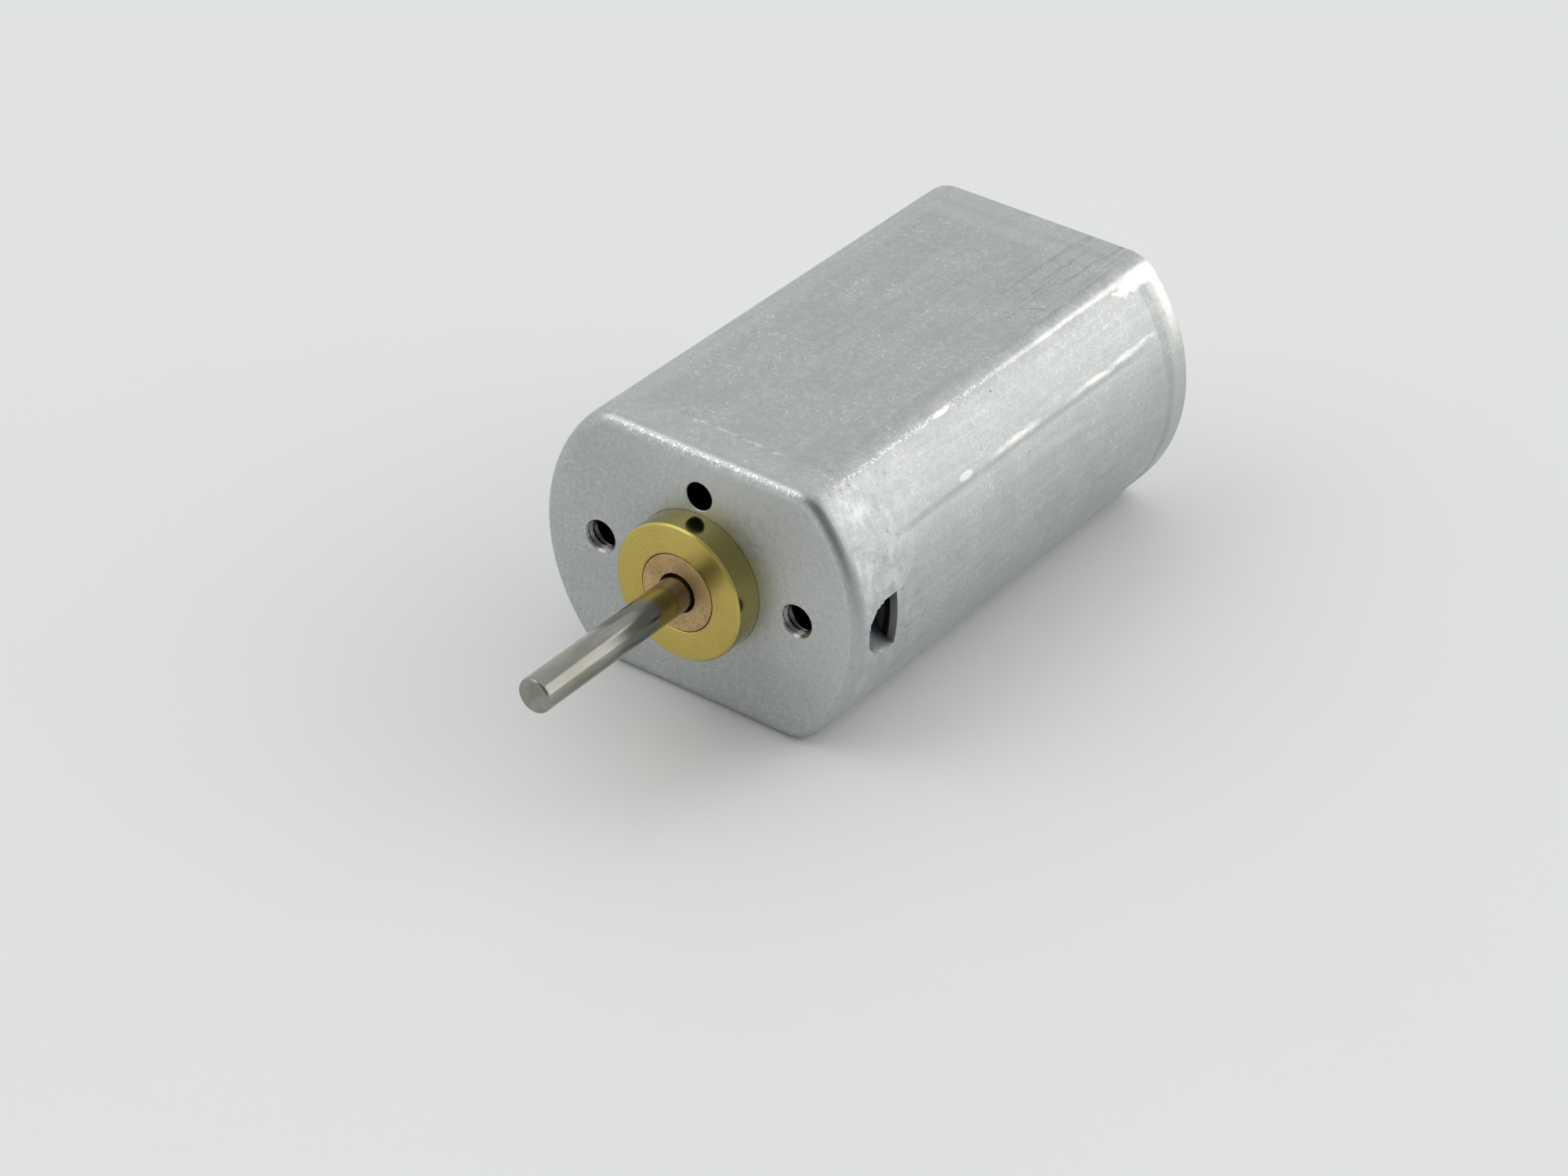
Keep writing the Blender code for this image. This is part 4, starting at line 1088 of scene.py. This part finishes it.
def add_plus(shape, x, z):
    """A small raised plus that marks the positive terminal. Returns its loop."""
    wide, far = PLUS_HALF_WIDTH, PLUS_ARM
    quarter = [(wide, far), (wide, wide), (far, wide)]
    outline = []
    for turn in range(4):
        corner = Matrix.Rotation(-turn * math.pi / 2, 2)
        outline += [corner @ Vector(point) for point in quarter]
    rings = [
        shape.ring([(x + place.x, y, z + place.y) for place in outline])
        for y in (CAP_REAR, CAP_REAR + PLUS_HEIGHT)
    ]
    shape.loft(rings)
    shape.fill([rings[-1]], (0, 1, 0))
    return rings[0]


def copy_of(node, name, material, body, bevel):
    """A CAD node's shape with its edges softened, as a piece of its own."""
    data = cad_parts[node].data.copy()
    shape = bmesh.new()
    shape.from_mesh(data)
    bmesh.ops.remove_doubles(shape, verts=shape.verts, dist=0.001 * MM)
    bmesh.ops.dissolve_limit(shape, angle_limit=math.radians(1), verts=shape.verts, edges=shape.edges)
    shape.to_mesh(data)
    shape.free()
    data.name = name
    obj = add_piece(name, data, material, body, node)
    modifier = obj.modifiers.new("Soft edges", "BEVEL")
    modifier.width = bevel * MM
    modifier.segments = 3
    modifier.limit_method = "ANGLE"
    modifier.angle_limit = SHARP_ANGLE
    modifier.harden_normals = True
    return obj


def dress(node, material):
    """Gives a CAD node that stays as it is its material."""
    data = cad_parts[node].data
    data.materials.clear()
    data.materials.append(material)


# The scene


def add_floor(material):
    data = bpy.data.meshes.new("floor")
    shape = bmesh.new()
    bmesh.ops.create_grid(shape, x_segments=4, y_segments=4, size=FLOOR_HALF_SIZE)
    shape.to_mesh(data)
    shape.free()
    data.materials.append(material)
    floor = bpy.data.objects.new("floor", data)
    floor.location.z = CAN_LOW.z - FLOOR_GAP
    bpy.context.scene.collection.objects.link(floor)


def add_area_light(name, place, width, height, radiance, colour):
    """A soft rectangular light that faces the motor. Its radiance is that of a lit white wall at 1."""
    light = bpy.data.lights.new(name, "AREA")
    light.shape = "RECTANGLE"
    light.size = width
    light.size_y = height
    light.color = colour
    light.energy = radiance * math.pi * width * height
    obj = bpy.data.objects.new(name, light)
    obj.location = place
    obj.rotation_mode = "QUATERNION"
    obj.rotation_quaternion = (ORIGIN - Vector(place)).to_track_quat("-Z", "Y")
    bpy.context.scene.collection.objects.link(obj)


def add_studio():
    """A pale room, darker where the onlooker stands, with a soft lamp on the left and a window behind."""
    world = bpy.data.worlds.new("studio")
    bpy.context.scene.world = world
    world.use_nodes = True
    nodes, links = world.node_tree.nodes, world.node_tree.links
    towards = nodes.new("ShaderNodeVectorMath")
    towards.operation = "DOT_PRODUCT"
    towards.inputs[1].default_value = ONLOOKER.normalized()
    links.new(nodes.new("ShaderNodeTexCoord").outputs["Generated"], towards.inputs[0])
    shade = nodes.new("ShaderNodeMapRange")
    shade.interpolation_type = "SMOOTHSTEP"
    links.new(towards.outputs["Value"], shade.inputs["Value"])
    for socket, value in (("From Min", 0.60), ("From Max", 0.92), ("To Min", 0.885), ("To Max", 0.32)):
        shade.inputs[socket].default_value = value
    background = nodes["Background"]
    background.inputs["Color"].default_value = (0.975, 0.99, 0.985, 1)
    links.new(shade.outputs["Result"], background.inputs["Strength"])
    add_area_light("lamp", (-0.30, -0.28, 0.46), 0.40, 0.40, 0.9, (1.0, 1.0, 1.0))
    add_area_light("window", (0.46, 0.54, 0.30), 0.70, 0.62, 1.12, (1.0, 0.985, 0.955))
    bpy.context.scene.view_settings.view_transform = "Standard"


def add_camera():
    """A camera at the photograph's viewing angle."""
    a, e = CAMERA_AZIMUTH, CAMERA_ELEVATION
    back = Vector((math.sin(a) * math.cos(e), -math.cos(a) * math.cos(e), math.sin(e)))
    right = Vector((0, 0, 1)).cross(back).normalized()
    up = back.cross(right)
    turn = Matrix((right, up, back)).transposed().to_4x4() @ Matrix.Rotation(CAMERA_ROLL, 4, "Z")
    data = bpy.data.cameras.new("camera")
    data.lens = CAMERA_LENS
    data.sensor_width = SENSOR_WIDTH
    data.clip_start = 0.01
    data.clip_end = 5.0
    camera = bpy.data.objects.new("camera", data)
    camera.matrix_world = Matrix.Translation(MOTOR_FRAME @ CAMERA_PLACE) @ turn
    bpy.context.scene.collection.objects.link(camera)
    bpy.context.scene.camera = camera


def main():
    zinc = zinc_steel()
    bronze = sintered_bronze()
    tinned = bright_metal("tinned_brass", (0.66, 0.66, 0.62), (0.56, 0.55, 0.50), 0.34, (1, 0.3, 1))
    nylon = moulded("nylon", (0.66, 0.64, 0.57), (0.62, 0.60, 0.53), 0.5)
    natural = moulded("nylon_natural", (0.72, 0.68, 0.56), (0.62, 0.58, 0.47), 0.5)
    spring = bright_metal("spring_steel", (0.46, 0.46, 0.47), (0.36, 0.36, 0.37), 0.32, (4, 0.2, 4))
    leaf = bright_metal("phosphor_bronze", (0.62, 0.38, 0.20), (0.50, 0.30, 0.16), 0.32, (1, 3, 0.2))
    copper = bright_metal("copper", (0.78, 0.40, 0.24), (0.55, 0.26, 0.15), 0.26, (0.3, 6, 0.3))
    fibre_board, magnet, block = fibre(), ferrite(), carbon()
    steel_sheets, wire, disc = laminations(), enamelled_wire(), ceramic()

    build_can(zinc)
    build_boss(turned_brass())
    build_front_bush(bronze)
    build_rear_bush(bronze)
    build_shaft(ground_steel())
    build_end_cap(nylon)
    for side in ("right", "left"):
        copy_of("terminal_" + side, "terminal_blade_" + side, tinned, "housing", 0.05)
    kept = {
        "magnet_right": magnet,
        "magnet_left": magnet,
        "magnet_spring": spring,
        "front_thrust_washer": fibre_board,
        "rear_thrust_washer": fibre_board,
        "front_spacer": natural,
        "rear_spacer": natural,
        "front_insulator": fibre_board,
        "rear_insulator": fibre_board,
        "lamination_stack": steel_sheets,
        "varistor_disc": disc,
        "commutator_hub": natural,
        "commutator_ring": fibre_board,
    }
    for letter in "abc":
        kept["coil_" + letter] = wire
        kept["commutator_segment_" + letter] = copper
    for side in ("right", "left"):
        kept["brush_arm_" + side] = leaf
        kept["carbon_brush_" + side] = block
    for node, material in kept.items():
        dress(node, material)

    add_floor(pale_board())
    add_studio()
    add_camera()


main()
